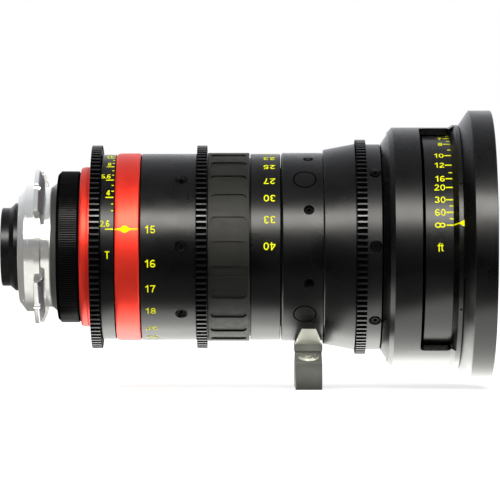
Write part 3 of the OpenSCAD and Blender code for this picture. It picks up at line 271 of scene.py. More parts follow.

# %% [markdown]
# ## The knurl on the lock ring
# The ridges of the knurl are a few tenths of a millimetre wide and their crests
# are rolled blunt. The finish lets the light see a face that leans most of the
# way back to the round ring, so the ridges read as fine lines in one band. The
# valleys get painted shade: the index falls from the crest down the flank, by
# the distance from the axis, so they throw back almost no light.

# %% Knurled ring
KNURL_CREST, KNURL_FLANK = 0.06 * MM, 0.16 * MM
BLUNTNESS = 0.78
SIDE_LEAN = 0.3
knurled_black = variant(barrel_black, "knurled_black_anodised_aluminium")
tree, surface, place = inside(knurled_black)
crest_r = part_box("lock_ring")[1].z
# Painted shade in the valleys: the gloss falls away below the crests
crest = add(tree, "MapRange", {VALUE: off_axis(tree, place), FROM_LOW: crest_r - KNURL_FLANK,
                               FROM_HIGH: crest_r - KNURL_CREST,
                               TO_LOW: NO_GLOSS, TO_HIGH: DYED_OXIDE_IOR})
connect(tree, surface, {"IOR": crest})
normal = add(tree, "NewGeometry").outputs["Normal"]
outward = add(tree, "VectorMath", {0: place, 1: AWAY_FROM_AXIS}, operation="MULTIPLY")
outward = add(tree, "VectorMath", {0: outward}, operation="NORMALIZE")
blunt = add(tree, "Mix", {0: BLUNTNESS, VECTOR_A: normal, VECTOR_B: outward}, data_type="VECTOR")
blunt = add(tree, "VectorMath", {0: blunt.outputs[VECTOR_OUT]}, operation="NORMALIZE")
lean = add(tree, "SeparateXYZ", {0: normal}).outputs["X"]
lean = add(tree, "Math", {0: lean}, operation="ABSOLUTE")
on_side = add(tree, "Math", {0: lean, 1: SIDE_LEAN}, operation="LESS_THAN")
kept = add(tree, "Mix", {0: on_side, VECTOR_A: normal, VECTOR_B: blunt}, data_type="VECTOR")
connect(tree, tree.nodes["Grain"], {"Normal": kept.outputs[VECTOR_OUT]})
print(knurled_black.name, "on a ring of radius", round(crest_r / MM, 1), "mm")

# %% [markdown]
# ## The seam of the round plugs
# Four plugs close the assembly holes of the support ring. They are turned to sit
# flush, and a thin black ring without gloss is drawn along the rim of each one.
# The distance from each plug's own axis draws it: folding the part into one
# quarter turns four axes into one.

# %% Plug finish
SEAM, SEAM_FADE = 0.4 * MM, 0.16 * MM
plug_low, plug_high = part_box("barrel_plugs")
plug_x = (plug_low.x + plug_high.x) / 2
plug_r = (plug_high.x - plug_low.x) / 2
plug_black = variant(barrel_black, "seamed_black_anodised_aluminium")
tree, surface, place = inside(plug_black)
across_plug = (0, -math.sqrt(0.5), math.sqrt(0.5))
folded = add(tree, "VectorMath", {0: place}, operation="ABSOLUTE")
sideways = add(tree, "VectorMath", {0: folded, 1: across_plug}, operation="DOT_PRODUCT")
lengthways = add(tree, "SeparateXYZ", {0: folded}).outputs["X"]
lengthways = add(tree, "Math", {0: lengthways, 1: plug_x}, operation="SUBTRACT")
from_axis = add(tree, "CombineXYZ", {0: lengthways, 1: sideways.outputs["Value"]})
from_axis = add(tree, "VectorMath", {0: from_axis}, operation="LENGTH")
# A thin black ring without gloss, drawn along the rim of each plug
seam = add(tree, "MapRange", {VALUE: from_axis.outputs["Value"], FROM_HIGH: plug_r - SEAM,
                              FROM_LOW: plug_r - SEAM - SEAM_FADE})
colour = add(tree, "Mix", {0: seam, COLOUR_A: feeder(surface, "Base Color"),
                           COLOUR_B: srgb("#000000")}, data_type="RGBA")
gloss = add(tree, "MapRange", {VALUE: seam, TO_LOW: DYED_OXIDE_IOR, TO_HIGH: NO_GLOSS})
connect(tree, surface, {"Base Color": colour.outputs[COLOUR_OUT], "IOR": gloss})
print("plugs are", round(2 * plug_r / MM, 1), "mm wide")

# %% [markdown]
# ## The shaded edge of the scale drum
# The drum runs in under the rear edge of its window. Its skin there gets little
# light and is drawn black without gloss, so a dark line parts it from its cover.

# %% Drum finish
DRUM_SHADE_START, DRUM_SHADE_END = 160.2 * MM, 160.4 * MM
drum_black = variant(barrel_black, "shaded_black_anodised_aluminium")
tree, surface, place = inside(drum_black)
along = add(tree, "SeparateXYZ", {0: place}).outputs["X"]
lit = add(tree, "MapRange", {VALUE: along, FROM_LOW: DRUM_SHADE_START,
                             FROM_HIGH: DRUM_SHADE_END})
colour = add(tree, "Mix", {0: lit, COLOUR_A: srgb("#000000"),
                           COLOUR_B: feeder(surface, "Base Color")}, data_type="RGBA")
gloss = add(tree, "MapRange", {VALUE: lit, TO_LOW: NO_GLOSS, TO_HIGH: DYED_OXIDE_IOR})
connect(tree, surface, {"Base Color": colour.outputs[COLOUR_OUT], "IOR": gloss})
print(drum_black.name)

# %% [markdown]
# ## Red anodised rings
# The two red rings are dyed through a thin clear oxide, so the aluminium below
# still throws light back: the red is deep in shade and glows in the highlight.
# A half metallic base gives that, with turning lines that show as faint streaks.

# %% Red anodising
red_anodised = finish("satin_red_anodised_aluminium", ("#BC281C", "#C62F22"),
                      {"IOR": DYED_OXIDE_IOR, "Metallic": 0.46, "Roughness": 0.42},
                      cloud=(9, 3), grain=(0.25, 2, 0.004, 0.5), lines=(0.4, 0.004, 0.6))
print(red_anodised.name)

# %% [markdown]
# ## Moulded rubber
# The grip is a matt rubber band with a shallow recess on each panel. Rubber has
# almost no gloss and a fine grain from the mould, and it gathers pale dust, so
# the base is a warm near black that gets a little lighter in patches. Specks of
# dust, finer than the patches, dull it unevenly.

# %% Rubber
RUBBER_IOR = 1.2
DUST_SIZE = 2 * MM
grip_rubber = finish("moulded_black_rubber", ("#0A0A09", "#11110F"), {"IOR": RUBBER_IOR},
                     cloud=(6, 5), grain=(0.35, 3, 0.02, 0.6))
tree, surface, place = inside(grip_rubber)
dust = add(tree, "TexNoise", {"Vector": place, "Scale": 1 / DUST_SIZE, "Detail": 2})
rough = add(tree, "MapRange", {VALUE: dust, FROM_LOW: NOISE_LOW, FROM_HIGH: NOISE_HIGH,
                               TO_LOW: 0.52, TO_HIGH: 0.64})
connect(tree, surface, {"Roughness": rough})
print(grip_rubber.name)

# %% [markdown]
# ## Bare metals
# The mount is stainless steel, turned and polished, because it wears against
# the camera each time the lens is fitted. The neck is natural anodised
# aluminium, duller and greyer. Screws are plated or blackened steel, and the
# rollers and the iris ring are brass.

# %% A metal finish with grain and, where it is turned, lines


def bare_metal(name, base, other, rough, pitch=None):
    """A metal whose gloss varies a little about one roughness; pitch in millimetres."""
    return finish(name, (base, other), {"Metallic": 1.0}, cloud=(5, 4),
                  rough=(rough - 0.04, rough + 0.05), grain=(0.25, 2, 0.004, 0.5),
                  lines=(pitch, 0.004, 0.7) if pitch else None)


mount_steel = bare_metal("polished_stainless_steel", "#DEDDDA", "#D3D2CF", 0.12, 0.3)
neck_aluminium = bare_metal("satin_natural_anodised_aluminium", "#83837F", "#787875", 0.32, 0.3)
plated_steel = bare_metal("plated_steel", "#C9C9C6", "#B8B8B4", 0.28)
black_oxide = bare_metal("black_oxide_steel", "#040404", "#070707", 0.6)
brass = bare_metal("turned_brass", "#B9924A", "#AA8440", 0.3, 0.3)
cam_aluminium = bare_metal("plain_turned_aluminium", "#B4B5B6", "#A6A7A8", 0.3, 0.25)
blade_steel = bare_metal("blued_spring_steel", "#26272B", "#2D2E33", 0.5)
print("metals:", [made.name for made in (mount_steel, neck_aluminium, plated_steel, brass)])

# %% [markdown]
# ## The shaded faces of the mount
# The front faces of the mount's wings face the lens body and lie in its shade, so
# they get painted shade: a darker grey, and a rougher gloss. Those faces are known by their
# normal, which points to the front.

# %% Painted shade on the front faces
FACING_START, FACING_END = 0.5, 0.8
SHADED_FRONT_ROUGHER = 0.42
tree, surface, place = inside(mount_steel)
forward = add(tree, "SeparateXYZ", {0: add(tree, "NewGeometry").outputs["Normal"]}).outputs["X"]
# Painted shade: faces that point to the front are drawn darker grey
painted_shade = add(tree, "MapRange", {VALUE: forward, FROM_LOW: FACING_START, FROM_HIGH: FACING_END})
rougher = add(tree, "Math", {0: painted_shade, 1: SHADED_FRONT_ROUGHER}, operation="MULTIPLY")
rough = add(tree, "Math", {0: feeder(surface, "Roughness"), 1: rougher}, operation="ADD")
colour = add(tree, "Mix", {0: painted_shade, COLOUR_A: feeder(surface, "Base Color"),
                           COLOUR_B: srgb("#66656A")}, data_type="RGBA")
connect(tree, surface, {"Base Color": colour.outputs[COLOUR_OUT], "Roughness": rough})
print(mount_steel.name, "has ground faces")

# %% [markdown]
# ## The support foot
# The foot is aluminium, bead blasted and anodised grey, so it is duller than the
# rings. Its two sloping cheeks above the bar get a painted highlight: light grey,
# metallic and smoother. A cheek is a face that slopes, looks down and lies above the bar.

# %% Grey foot with a painted highlight on its cheeks
BAR_TOP, BAR_FADE = -44.5 * MM, 0.5 * MM
CHEEK_SMOOTHER = 0.3
foot_grey = finish("grey_anodised_aluminium", ("#636460", "#6E6F6A"), {"IOR": 1.12},
                   cloud=(6, 4), rough=(0.6, 0.7), grain=(0.3, 2, 0.006, 0.5))
tree, surface, place = inside(foot_grey)
facing = add(tree, "SeparateXYZ", {0: add(tree, "NewGeometry").outputs["Normal"]})
slope = add(tree, "Math", {0: facing.outputs["Y"]}, operation="ABSOLUTE")
sloping = add(tree, "MapRange", {VALUE: slope, FROM_LOW: 0.3, FROM_HIGH: 0.4})
looks_down = add(tree, "MapRange", {VALUE: facing.outputs["Z"], FROM_LOW: -0.75,
                                    FROM_HIGH: -0.6, TO_LOW: 1.0, TO_HIGH: 0.0})
height = add(tree, "SeparateXYZ", {0: place}).outputs["Z"]
above_bar = add(tree, "MapRange", {VALUE: height, FROM_LOW: BAR_TOP - BAR_FADE,
                                   FROM_HIGH: BAR_TOP})
cheek = add(tree, "Math", {0: sloping, 1: looks_down}, operation="MULTIPLY")
cheek = add(tree, "Math", {0: above_bar, 1: cheek}, operation="MULTIPLY")
smoother = add(tree, "Math", {0: cheek, 1: CHEEK_SMOOTHER}, operation="MULTIPLY")
rough = add(tree, "Math", {0: feeder(surface, "Roughness"), 1: smoother}, operation="SUBTRACT")
# Painted highlight: the cheeks are drawn light grey and metallic
colour = add(tree, "Mix", {0: cheek, COLOUR_A: feeder(surface, "Base Color"),
                           COLOUR_B: srgb("#CECEC7")}, data_type="RGBA")
connect(tree, surface, {"Base Color": colour.outputs[COLOUR_OUT], "Roughness": rough,
                        "Metallic": cheek})
print(foot_grey.name, "with bright cheeks above", round(BAR_TOP / MM, 1), "mm")

# %% [markdown]
# ## Optical glass
# Each lens is clear glass with a coating a few hundred nanometres thick. The
# coating cuts the white reflection and leaves a faint green one. It is set as a
# tint of the reflection on the shader's own socket, so that it stays when the
# model goes to other software. Polishing leaves a wave far too low to see, apart
# from a slight unevenness in what the glass mirrors.

# %% Coated glass
glass = finish("coated_optical_glass", ("#F3F8F4",), {
    "IOR": 1.58, "Roughness": 0.0, "Transmission Weight": 1.0,
    "Specular Tint": srgb("#527F6C")}, grain=(40, 2, 0.0001, 0.1))
print(glass.name)

# %% [markdown]
# ## Dress the solids
# Each node gets its finish by name, and the count at the end shows that no
# node was forgotten. Assigning to the slots changes no vertex.

# %% Assign the finishes
finishes = {
    knurled_black: "lock_ring",
    plug_black: "barrel_plugs",
    drum_black: "scale_drum",
    barrel_black: """rear_barrel rear_retaining_ring iris_scale_ring zoom_ring
        zoom_scale_ring support_ring focus_ring front_cover
        front_ring front_retaining_ring""",
    inner_black: """main_barrel iris_base iris_retaining_ring master_cell variator_cell
        compensator_cell focus_cell focus_barrel front_barrel""",
    red_anodised: "rear_trim_ring index_ring",
    grip_rubber: "zoom_grip",
    mount_steel: "lens_mount",
    neck_aluminium: "rear_housing",
    foot_grey: "support_foot",
    plated_steel: "mount_screws foot_screws iris_drive_pin",
    black_oxide: "zoom_screws barrel_screws focus_screws cover_screws",
    brass: "iris_cam_ring variator_rollers compensator_rollers focus_rollers",
    cam_aluminium: "zoom_cam",
    blade_steel: " ".join(f"iris_blade_{i}" for i in range(1, 10)),
    glass: """rear_elements master_elements compensator_elements variator_elements
        focus_elements middle_elements front_element""",
}
finish_of = {node: made for made, names in finishes.items() for node in names.split()}
finish_of.update(gear_black)
for name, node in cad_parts.items():
    if not node.material_slots:
        node.data.materials.append(finish_of[name])
    for slot in node.material_slots:
        slot.material = finish_of[name]
print(len(finish_of), "finishes given to", len(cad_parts), "nodes")

# %% [markdown]
# ## Painted marks
# The scales are engraved and filled with yellow enamel. Text drawn flat would
# float off a round ring, so every mark is built flat in millimetres, cut into
# narrow strips, and then rolled round the axis at the ring's radius. The paint
# keeps a real thickness, a few hundredths of a millimetre above the metal.

# %% Yellow enamel
enamel = finish("yellow_enamel", ("#FAFC00", "#FFFF0A"), {"IOR": 1.2, "Roughness": 0.6},
                cloud=(1.2, 2), grain=(0.3, 2, 0.005, 0.5))
PAINT_LOW, PAINT_HIGH = -0.08, 0.05
# Strokes that cross differ by this much in height, so that no two faces share a plane
STROKE_STEP = 0.004
print("paint stands", PAINT_HIGH, "mm proud")

# %% [markdown]
# ## Digits as an engraver cuts them
# An engraving cutter follows the middle line of each digit and leaves a groove
# of one width. So each digit here is a few strokes, given by their middle lines
# in shares of the digit's height, and a stroke becomes a closed band of paint.

# %% Flat bands, slabs and outlines
OVAL_POINTS = 20


def band(made, points, width, closed=False, lift=0.0):
    """Adds a closed solid band along flat points, in millimetres."""
    rows = []
    count = len(points)
    for i, (u, v) in enumerate(points):
        before = Vector(points[i - 1] if i or closed else points[0])
        after = Vector(points[(i + 1) % count] if closed or i < count - 1 else points[-1])
        here = Vector((u, v))
        steps = [step.normalized() for step in (here - before, after - here) if step.length]
        heading = (steps[0] + steps[-1]).normalized()
        reach = width / 2 / max(0.5, heading.dot(steps[0]))
        side = Vector((-heading.y, heading.x)) * reach
        rows.append([made.verts.new((*(here + way * side), height + lift))
                     for way, height in ((-1, PAINT_LOW), (1, PAINT_LOW), (1, PAINT_HIGH),
                                         (-1, PAINT_HIGH))])
    for a, b in zip(rows, rows[1:] + (rows[:1] if closed else [])):
        for k in range(4):
            made.faces.new((a[k], b[k], b[(k + 1) % 4], a[(k + 1) % 4]))
    if not closed:
        made.faces.new(rows[0])
        made.faces.new(list(reversed(rows[-1])))
    return made


def bar(start, end, half_width):
    """A straight band along the axis, from start to end, in millimetres."""
    return band(bmesh.new(), [(start, 0.0), (end, 0.0)], 2 * half_width)


def slab(made, corners, lift=0.0):
    """Adds a closed solid slab of paint with four flat corners, in millimetres."""
    low = [made.verts.new((u, v, PAINT_LOW + lift)) for u, v in corners]
    high = [made.verts.new((u, v, PAINT_HIGH + lift)) for u, v in corners]
    made.faces.new(list(reversed(low)))
    made.faces.new(high)
    for i in range(4):
        k = (i + 1) % 4
        made.faces.new((low[i], low[k], high[k], high[i]))
    return made


def arc(u, v, wide, high, start, end, steps=12):
    """Points on part of an oval, from one angle to the other."""
    turns = [math.radians(start + (end - start) * i / steps) for i in range(steps + 1)]
    return [(u + wide * math.cos(t), v + high * math.sin(t)) for t in turns]


def oval(u, v, wide, high):
    """A whole oval; its number of points marks it as a closed stroke."""
    return arc(u, v, wide, high, 0, 360, OVAL_POINTS)[:-1]


print("bands and slabs ready")

# %% [markdown]
# ## The signs
# The scales need every digit but the 9, a point, and the letters T, f and t. A
# sign is its advance and its strokes, all in shares of its height.

# %% Strokes of each sign
SIGNS = {
    "0": (0.80, [oval(0.37, 0.5, 0.26, 0.405)]),
    "1": (0.62, [[(0.06, 0.70), (0.20, 0.77), (0.33, 0.90)], [(0.36, 1.0), (0.36, 0.0)]]),
    "2": (0.80, [arc(0.36, 0.70, 0.24, 0.205, 165, -42) + [(0.12, 0.12)],
                 [(0.03, 0.095), (0.70, 0.095)]]),
    "3": (0.80, [arc(0.35, 0.71, 0.23, 0.195, 155, -75), arc(0.35, 0.30, 0.26, 0.205, 80, -160)]),
    "4": (0.80, [[(0.50, 1.0), (0.50, 0.0)], [(0.46, 0.92), (0.08, 0.34)],
                 [(0.02, 0.28), (0.72, 0.28)]]),
    "5": (0.80, [[(0.64, 0.905), (0.19, 0.905)], [(0.21, 0.94), (0.15, 0.48)],
                 arc(0.36, 0.32, 0.26, 0.225, 140, -160)]),
    "6": (0.80, [oval(0.37, 0.30, 0.26, 0.205), arc(0.42, 0.50, 0.31, 0.405, 180, 52)]),
    "7": (0.80, [[(0.04, 0.905), (0.68, 0.905)],
                 [(0.62, 0.88), (0.46, 0.62), (0.35, 0.34), (0.30, 0.0)]]),
    "8": (0.80, [oval(0.37, 0.715, 0.215, 0.19), oval(0.37, 0.29, 0.26, 0.20)]),
    ".": (0.30, [[(0.10, 0.0), (0.10, 0.19)]]),
    "T": (0.70, [[(0.0, 0.905), (0.62, 0.905)], [(0.31, 0.86), (0.31, 0.0)]]),
    "f": (0.38, [[(0.20, 0.0)] + arc(0.37, 0.76, 0.17, 0.15, 180, 90),
                 [(0.02, 0.66), (0.38, 0.66)]]),
    "t": (0.40, [[(0.14, 0.90)] + arc(0.28, 0.22, 0.14, 0.13, 180, 280),
                 [(0.0, 0.66), (0.33, 0.66)]]),
}


def letters(words, height, align="LEFT", heavy=0.14, narrow=1.0, drop=0.0):
    """Engraved signs as one flat solid, drop millimetres below the line."""
    made = bmesh.new()
    pen = 0.0
    for sign in words:
        advance, strokes = SIGNS[sign]
        for order, points in enumerate(strokes):
            closed = len(points) == OVAL_POINTS
            band(made, [((pen + u) * height * narrow, v * height) for u, v in points],
                 heavy * height, closed, STROKE_STEP * order)
        pen += advance
    left = min(v.co.x for v in made.verts)
    right = max(v.co.x for v in made.verts)
    start = {"LEFT": left, "RIGHT": right, "CENTER": (left + right) / 2}[align]
    bmesh.ops.translate(made, verts=made.verts, vec=(-start, -drop, 0))
    return made


print(len(SIGNS), "signs drawn")

# %% [markdown]
# ## Rolling a mark round the axis
# Angles are counted from the side that faces the camera, upwards. A flat mark's
# width runs along the axis and its height runs round the ring. The cuts come
# first, so that no long edge can dip through the round metal.

# %% The roller
STRIP = 0.5
CUT_REACH = 1e-5


def rolled(flat, x, angle, radius, turned=False):
    """Cuts a flat mark into strips and rolls it round the axis. radius may depend on X."""
    low = min(v.co.y for v in flat.verts)
    high = max(v.co.y for v in flat.verts)
    for k in range(1, int((high - low) / STRIP) + 1):
        everything = flat.verts[:] + flat.edges[:] + flat.faces[:]
        bmesh.ops.bisect_plane(flat, geom=everything, plane_co=(0, low + k * STRIP, 0),
                               plane_no=(0, 1, 0), dist=CUT_REACH)
    side = -1 if turned else 1
    for v in flat.verts:
        here = x + side * v.co.x
        ring = radius(here) if callable(radius) else radius
        turn = math.radians(angle) + side * v.co.y / ring
        out = ring + v.co.z
        v.co = Vector((here, -out * math.cos(turn), out * math.sin(turn))) * MM
    return flat


def painted(name, marks, body):
    """One piece of enamel from many rolled marks, tied to the body that carries it."""
    whole = bmesh.new()
    for mark in marks:
        part = bpy.data.meshes.new("part")
        mark.to_mesh(part)
        whole.from_mesh(part)
        bpy.data.meshes.remove(part)
        mark.free()
    bmesh.ops.triangulate(whole, faces=whole.faces)
    bmesh.ops.recalc_face_normals(whole, faces=whole.faces)
    mesh = bpy.data.meshes.new(name)
    whole.to_mesh(mesh)
    open_edges = sum(not edge.is_manifold for edge in whole.edges)
    whole.free()
    mesh.materials.append(enamel)
    piece = bpy.data.objects.new(name, mesh)
    scene.collection.objects.link(piece)
    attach(piece, body)
    print(name, len(mesh.polygons), "faces,", open_edges, "open edges")


print("strips are", STRIP, "mm wide")

# %% [markdown]
# ## Iris scale
# The aperture ring counts in stops: full numbers have a long line, thirds of a
# stop a short tick. The scale is even because the iris cam is cut that way.

# %% Iris numbers
IRIS_R = 38.5
IRIS_LINE_END, IRIS_DIGITS_END, IRIS_SIGN_X = 33.05, 31.6, 30.6
IRIS_DIGIT_LIFT = 1.4
IRIS_SIGN_ANGLE = -7.4
STOP_TURN = 13.7
iris_places = {"2.6": 10.7, "4": 31.6, "5.6": 45.3, "8": 59.0, "11": 72.7, "16": 86.4,
               "22": 100.7}
iris_marks = []
for number, angle in iris_places.items():
    iris_marks.append(rolled(bar(-3.3, 0, 0.27), IRIS_LINE_END, angle, IRIS_R))
    digits = letters(number, 2.7, "RIGHT", heavy=0.145, narrow=0.8)
    iris_marks.append(rolled(digits, IRIS_DIGITS_END, angle + IRIS_DIGIT_LIFT, IRIS_R))
for angle in list(iris_places.values())[1:]:
    for third in (1, 2):
        tick_angle = angle - third * STOP_TURN / 3
        iris_marks.append(rolled(bar(-0.9, 0, 0.24), IRIS_LINE_END, tick_angle, IRIS_R))
iris_marks.append(rolled(letters("T", 3.2, "CENTER"), IRIS_SIGN_X, IRIS_SIGN_ANGLE, IRIS_R))
painted("iris_scale_marks", iris_marks, "iris_ring")

# %% [markdown]
# ## Index line
# The red ring is fixed. Its line and diamond are what the iris and zoom scales
# are read against. The line follows the ring's rounded rear edge in short steps,
# and the diamond is one outline laid over the line.

# %% Index line and diamond
INDEX_R = 39.1
INDEX_ANGLE = 10.5
EDGE_X, EDGE_LENGTH, EDGE_DROP = 33.5, 2.6, 0.8
DIAMOND_X, DIAMOND_LIFT = 37.75, 0.02
LINE_HALF = 0.29


def index_radius(x):
    """The red ring's surface, with its rounded rear edge."""
    share = max(0.0, 1 - (x - EDGE_X) / EDGE_LENGTH)
    return INDEX_R - EDGE_DROP * (1 - math.sqrt(1 - min(1.0, share) ** 2))


edge_steps = [33.52, 33.6, 33.75, 34.0, 34.4, 35.0, 35.6, 36.2, 43.1]
index_marks = [rolled(bar(a, b, LINE_HALF), 0, INDEX_ANGLE, index_radius)
               for a, b in zip(edge_steps, edge_steps[1:])]
half_diamond = [(-2.9, LINE_HALF), (-1.9, 0.5), (-1.0, 1.15), (-0.35, 1.5), (0.35, 1.5),
                (1.0, 1.15), (1.9, 0.5), (2.9, LINE_HALF)]
diamond = bmesh.new()
for (a, half_a), (b, half_b) in zip(half_diamond, half_diamond[1:]):
    slab(diamond, [(a, -half_a), (b, -half_b), (b, half_b), (a, half_a)], DIAMOND_LIFT)
index_marks.append(rolled(diamond, DIAMOND_X, INDEX_ANGLE, INDEX_R))
painted("index_marks", index_marks, "barrel")

# %% [markdown]
# ## Zoom scales
# Focal lengths are wide apart at the short end and close at the long end. The
# near scale reads upright behind the gear, and the same numbers stand on the
# front ring, turned, for an operator on the other side.

# %% Zoom numbers
ZOOM_R = 38.9
ZOOM_DIGIT = 3.3
# Each scale: where its numbers start, the angle of its first number, and if it is turned
ZOOM_SCALES = ((46.0, 10.4, False), (99.3, 170.3, True))
zoom_turns = {15: 0, 16: 20.6, 17: 36.6, 18: 53, 20: 70.2, 22: 84, 23: 100.3, 25: 112.5,
              27: 126.5, 30: 139.6, 33: 153.8, 40: 170}
zoom_marks = []
for number, turn in zoom_turns.items():
    for x, first_angle, turned in ZOOM_SCALES:
        digits = letters(str(number), ZOOM_DIGIT, drop=ZOOM_DIGIT / 2)
        zoom_marks.append(rolled(digits, x, first_angle - turn, ZOOM_R, turned))
painted("zoom_scale_marks", zoom_marks, "zoom_ring")

# %% [markdown]
# ## Focus scale
# Distances crowd towards infinity, because the focusing group moves with one
# over the distance. The angles come from that law, so that the numbers between
# the ones that show are in the right place too.

# %% Focus numbers
DRUM_R = 46.6
FOCUS_LINE_END, FOCUS_DIGITS_END = 171.5, 168.4
FOCUS_DIGIT, FEET_HEIGHT = 3.0, 3.7
FEET_X, FEET_ANGLE = 166.2, -0.2
INFINITY_ANGLE = 10.8
# The turn grows as one over the distance past this limit, in feet
FOCUS_TURN, FOCUS_LIMIT = 390.8, 0.8217


def focus_angle(feet):
    """The angle round the drum at which a distance stands."""
    return INFINITY_ANGLE + FOCUS_TURN / (feet - FOCUS_LIMIT)


focus_numbers = [60, 30, 20, 16, 12, 10, 8, 7, 6, 5, 4.5, 4, 3.5, 3, 2.75, 2.5, 2.25]
focus_ticks = [120, 40, 14, 9, 7.5, 6.5, 5.5, 4.75, 4.25, 3.75, 3.25]
focus_marks = []
for feet in focus_numbers:
    angle = focus_angle(feet)
    digits = letters(f"{feet:g}", FOCUS_DIGIT, "RIGHT", drop=FOCUS_DIGIT / 2)
    focus_marks.append(rolled(digits, FOCUS_DIGITS_END, angle, DRUM_R))
    focus_marks.append(rolled(bar(-2.8, 0, 0.28), FOCUS_LINE_END, angle, DRUM_R))
for feet in focus_ticks:
    focus_marks.append(rolled(bar(-1.5, 0, 0.26), FOCUS_LINE_END, focus_angle(feet), DRUM_R))
focus_marks.append(rolled(bar(-2.8, 0, 0.28), FOCUS_LINE_END, INFINITY_ANGLE, DRUM_R))
feet_word = letters("ft", FEET_HEIGHT, "CENTER", heavy=0.115, drop=FEET_HEIGHT / 2)
focus_marks.append(rolled(feet_word, FEET_X, FEET_ANGLE, DRUM_R))
print(len(focus_marks), "focus marks")

# %% [markdown]
# ## The infinity sign
# It is a figure of eight that lies on its side. As one closed band it would
# cross itself, so each loop is a closed band of its own, the right one a little
# smaller.

# %% Infinity sign
SIGN_X, SIGN_WIDTH = 166.1, 0.5
# Each loop: its middle, half width and half height
loops = ((-0.95, 0.98, 0.88), (0.95, 0.92, 0.78))
for order, (middle, wide, high) in enumerate(loops):
    loop = band(bmesh.new(), oval(middle, 0, wide, high), SIGN_WIDTH, True, STROKE_STEP * order)
    focus_marks.append(rolled(loop, SIGN_X, INFINITY_ANGLE, DRUM_R))
painted("focus_scale_marks", focus_marks, "focus_ring")

# %% [markdown]
# ## Focus pointer
# A triangle stands on the cover's lip and its line runs down the bevel to the
# drum. The radius is a function of the place along the axis, so the same roller
# lays the mark down the slope.

# %% Pointer on the lip
LIP_R, BEVEL_R = 51.0, 47.2
BEVEL_START, BEVEL_RISE = 171.6, 1.848
POINTER_TIP, POINTER_END = 173.66, 175.6
TIP_HALF, END_HALF = 0.3, 1.35
POINTER_EDGE = [(175.64, -1.3), (175.64, 1.3)]


def cover_radius(x):
    """The cover's surface, from the foot of the bevel to the lip."""
    return min(LIP_R, BEVEL_R + BEVEL_RISE * max(0.0, x - BEVEL_START))


slope_steps = [171.72, 172.1, 172.5, 172.9, 173.3, POINTER_TIP]
pointer_marks = [rolled(bar(a, b, LINE_HALF), 0, INFINITY_ANGLE, cover_radius)
                 for a, b in zip(slope_steps, slope_steps[1:])]
edge = band(bmesh.new(), POINTER_EDGE, 0.08)
triangle = slab(bmesh.new(), [(POINTER_TIP, -TIP_HALF), (POINTER_END, -END_HALF),
                              (POINTER_END, END_HALF), (POINTER_TIP, TIP_HALF)])
pointer_marks += [rolled(mark, 0, INFINITY_ANGLE, LIP_R) for mark in (edge, triangle)]
painted("focus_pointer_marks", pointer_marks, "barrel")

# %% [markdown]
# ## Floor
# A pale sheet stands for the studio table. The lens on it casts a soft shadow.
# The glow that only the camera sees lifts the paper to the white of the room, a
# little less close to the lens, so that the shadow keeps its depth.

# %% Pale floor
FLOOR_HALF = 4.0
FLOOR_GAP = 0.05 * MM
GLOW_NEAR, GLOW_FAR = 0.4, 0.9
floor_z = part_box("support_foot")[0].z - FLOOR_GAP
floor_mesh = bpy.data.meshes.new("floor")
corners = [(x * FLOOR_HALF, y * FLOOR_HALF, floor_z)
           for x, y in ((-1, -1), (1, -1), (1, 1), (-1, 1))]
floor_mesh.from_pydata(corners, [], [(0, 1, 2, 3)])
floor = bpy.data.objects.new("floor", floor_mesh)
scene.collection.objects.link(floor)
paper = bpy.data.materials.new("pale_paper_sweep")
paper.use_nodes = True
tree = paper.node_tree
tree.nodes.clear()
seen = add(tree, "LightPath")
place = add(tree, "TexCoord").outputs["Object"]
from_part = add(tree, "VectorMath", {0: place}, operation="LENGTH").outputs["Value"]
glow_share = add(tree, "MapRange", {VALUE: from_part, FROM_LOW: GLOW_NEAR, FROM_HIGH: GLOW_FAR,
                                    TO_LOW: 0.72, TO_HIGH: 1.0})
glow_share = add(tree, "Math", {0: seen.outputs["Is Camera Ray"], 1: glow_share},
                 operation="MULTIPLY")
glow = add(tree, "Emission", {"Color": srgb("#FFFFFF"), "Strength": glow_share})
pale = add(tree, "BsdfDiffuse", {"Color": srgb("#E4E4E2")})
to_camera = add(tree, "AddShader", {0: pale, 1: glow})
print("floor at", round(floor_z / MM, 2), "mm")

# %% [markdown]
# ## What the lens mirrors from below
# On the table a photographer lays white sheets, which the polished mount and the
# satin rings mirror along their undersides. One card lies beside the mount. A
# sheet lies under the rings, with a far edge that runs at a slant and a strip of
# light past it. The strip ends past the front of the lens, and on the camera's
# side it leaves out the foot. Only what is glossy sees them, so the table stays
# plain to the camera.

# %% Zones on the floor
# Each zone: its direction, where it starts and ends in millimetres, and its two values
ZONES = {
    "beside_mount": ("X", 3, 9, 1.0, 0.0),
    "card_front": ("Y", -160, -120, 0.45, 1.3),
    "card_rear": ("Y", -25, 10, 1.0, 0.3),
    "slant_front": ("X", 110, 190, 0.033, 0.080),
    "slant_rear": ("X", 12, 30, -0.033, 0.0),
    "ends_past_front": ("X", 195, 225, 1.0, 0.0),
    "past_foot": ("Y", -16, -8, 0.0, 1.0),
}
on_floor = add(tree, "SeparateXYZ", {0: place})
zone = {name: add(tree, "MapRange", {VALUE: on_floor.outputs[way], FROM_LOW: start * MM,
                                     FROM_HIGH: end * MM, TO_LOW: low, TO_HIGH: high})
        for name, (way, start, end, low, high) in ZONES.items()}
card = add(tree, "Math", {0: zone["card_front"], 1: zone["card_rear"]}, operation="MULTIPLY")
card = add(tree, "Math", {0: zone["beside_mount"], 1: card}, operation="MULTIPLY")
slant = add(tree, "Math", {0: zone["slant_front"], 1: zone["slant_rear"]}, operation="ADD")
past_edge = add(tree, "Math", {0: on_floor.outputs["Y"], 1: slant}, operation="ADD")
print(len(zone), "zones on the floor")

# %% [markdown]
# ## The sheet and its strip of light
# The sheet brightens towards its slanting far edge. Past the edge comes the
# strip, which is bright as far as the axis and fades behind it.

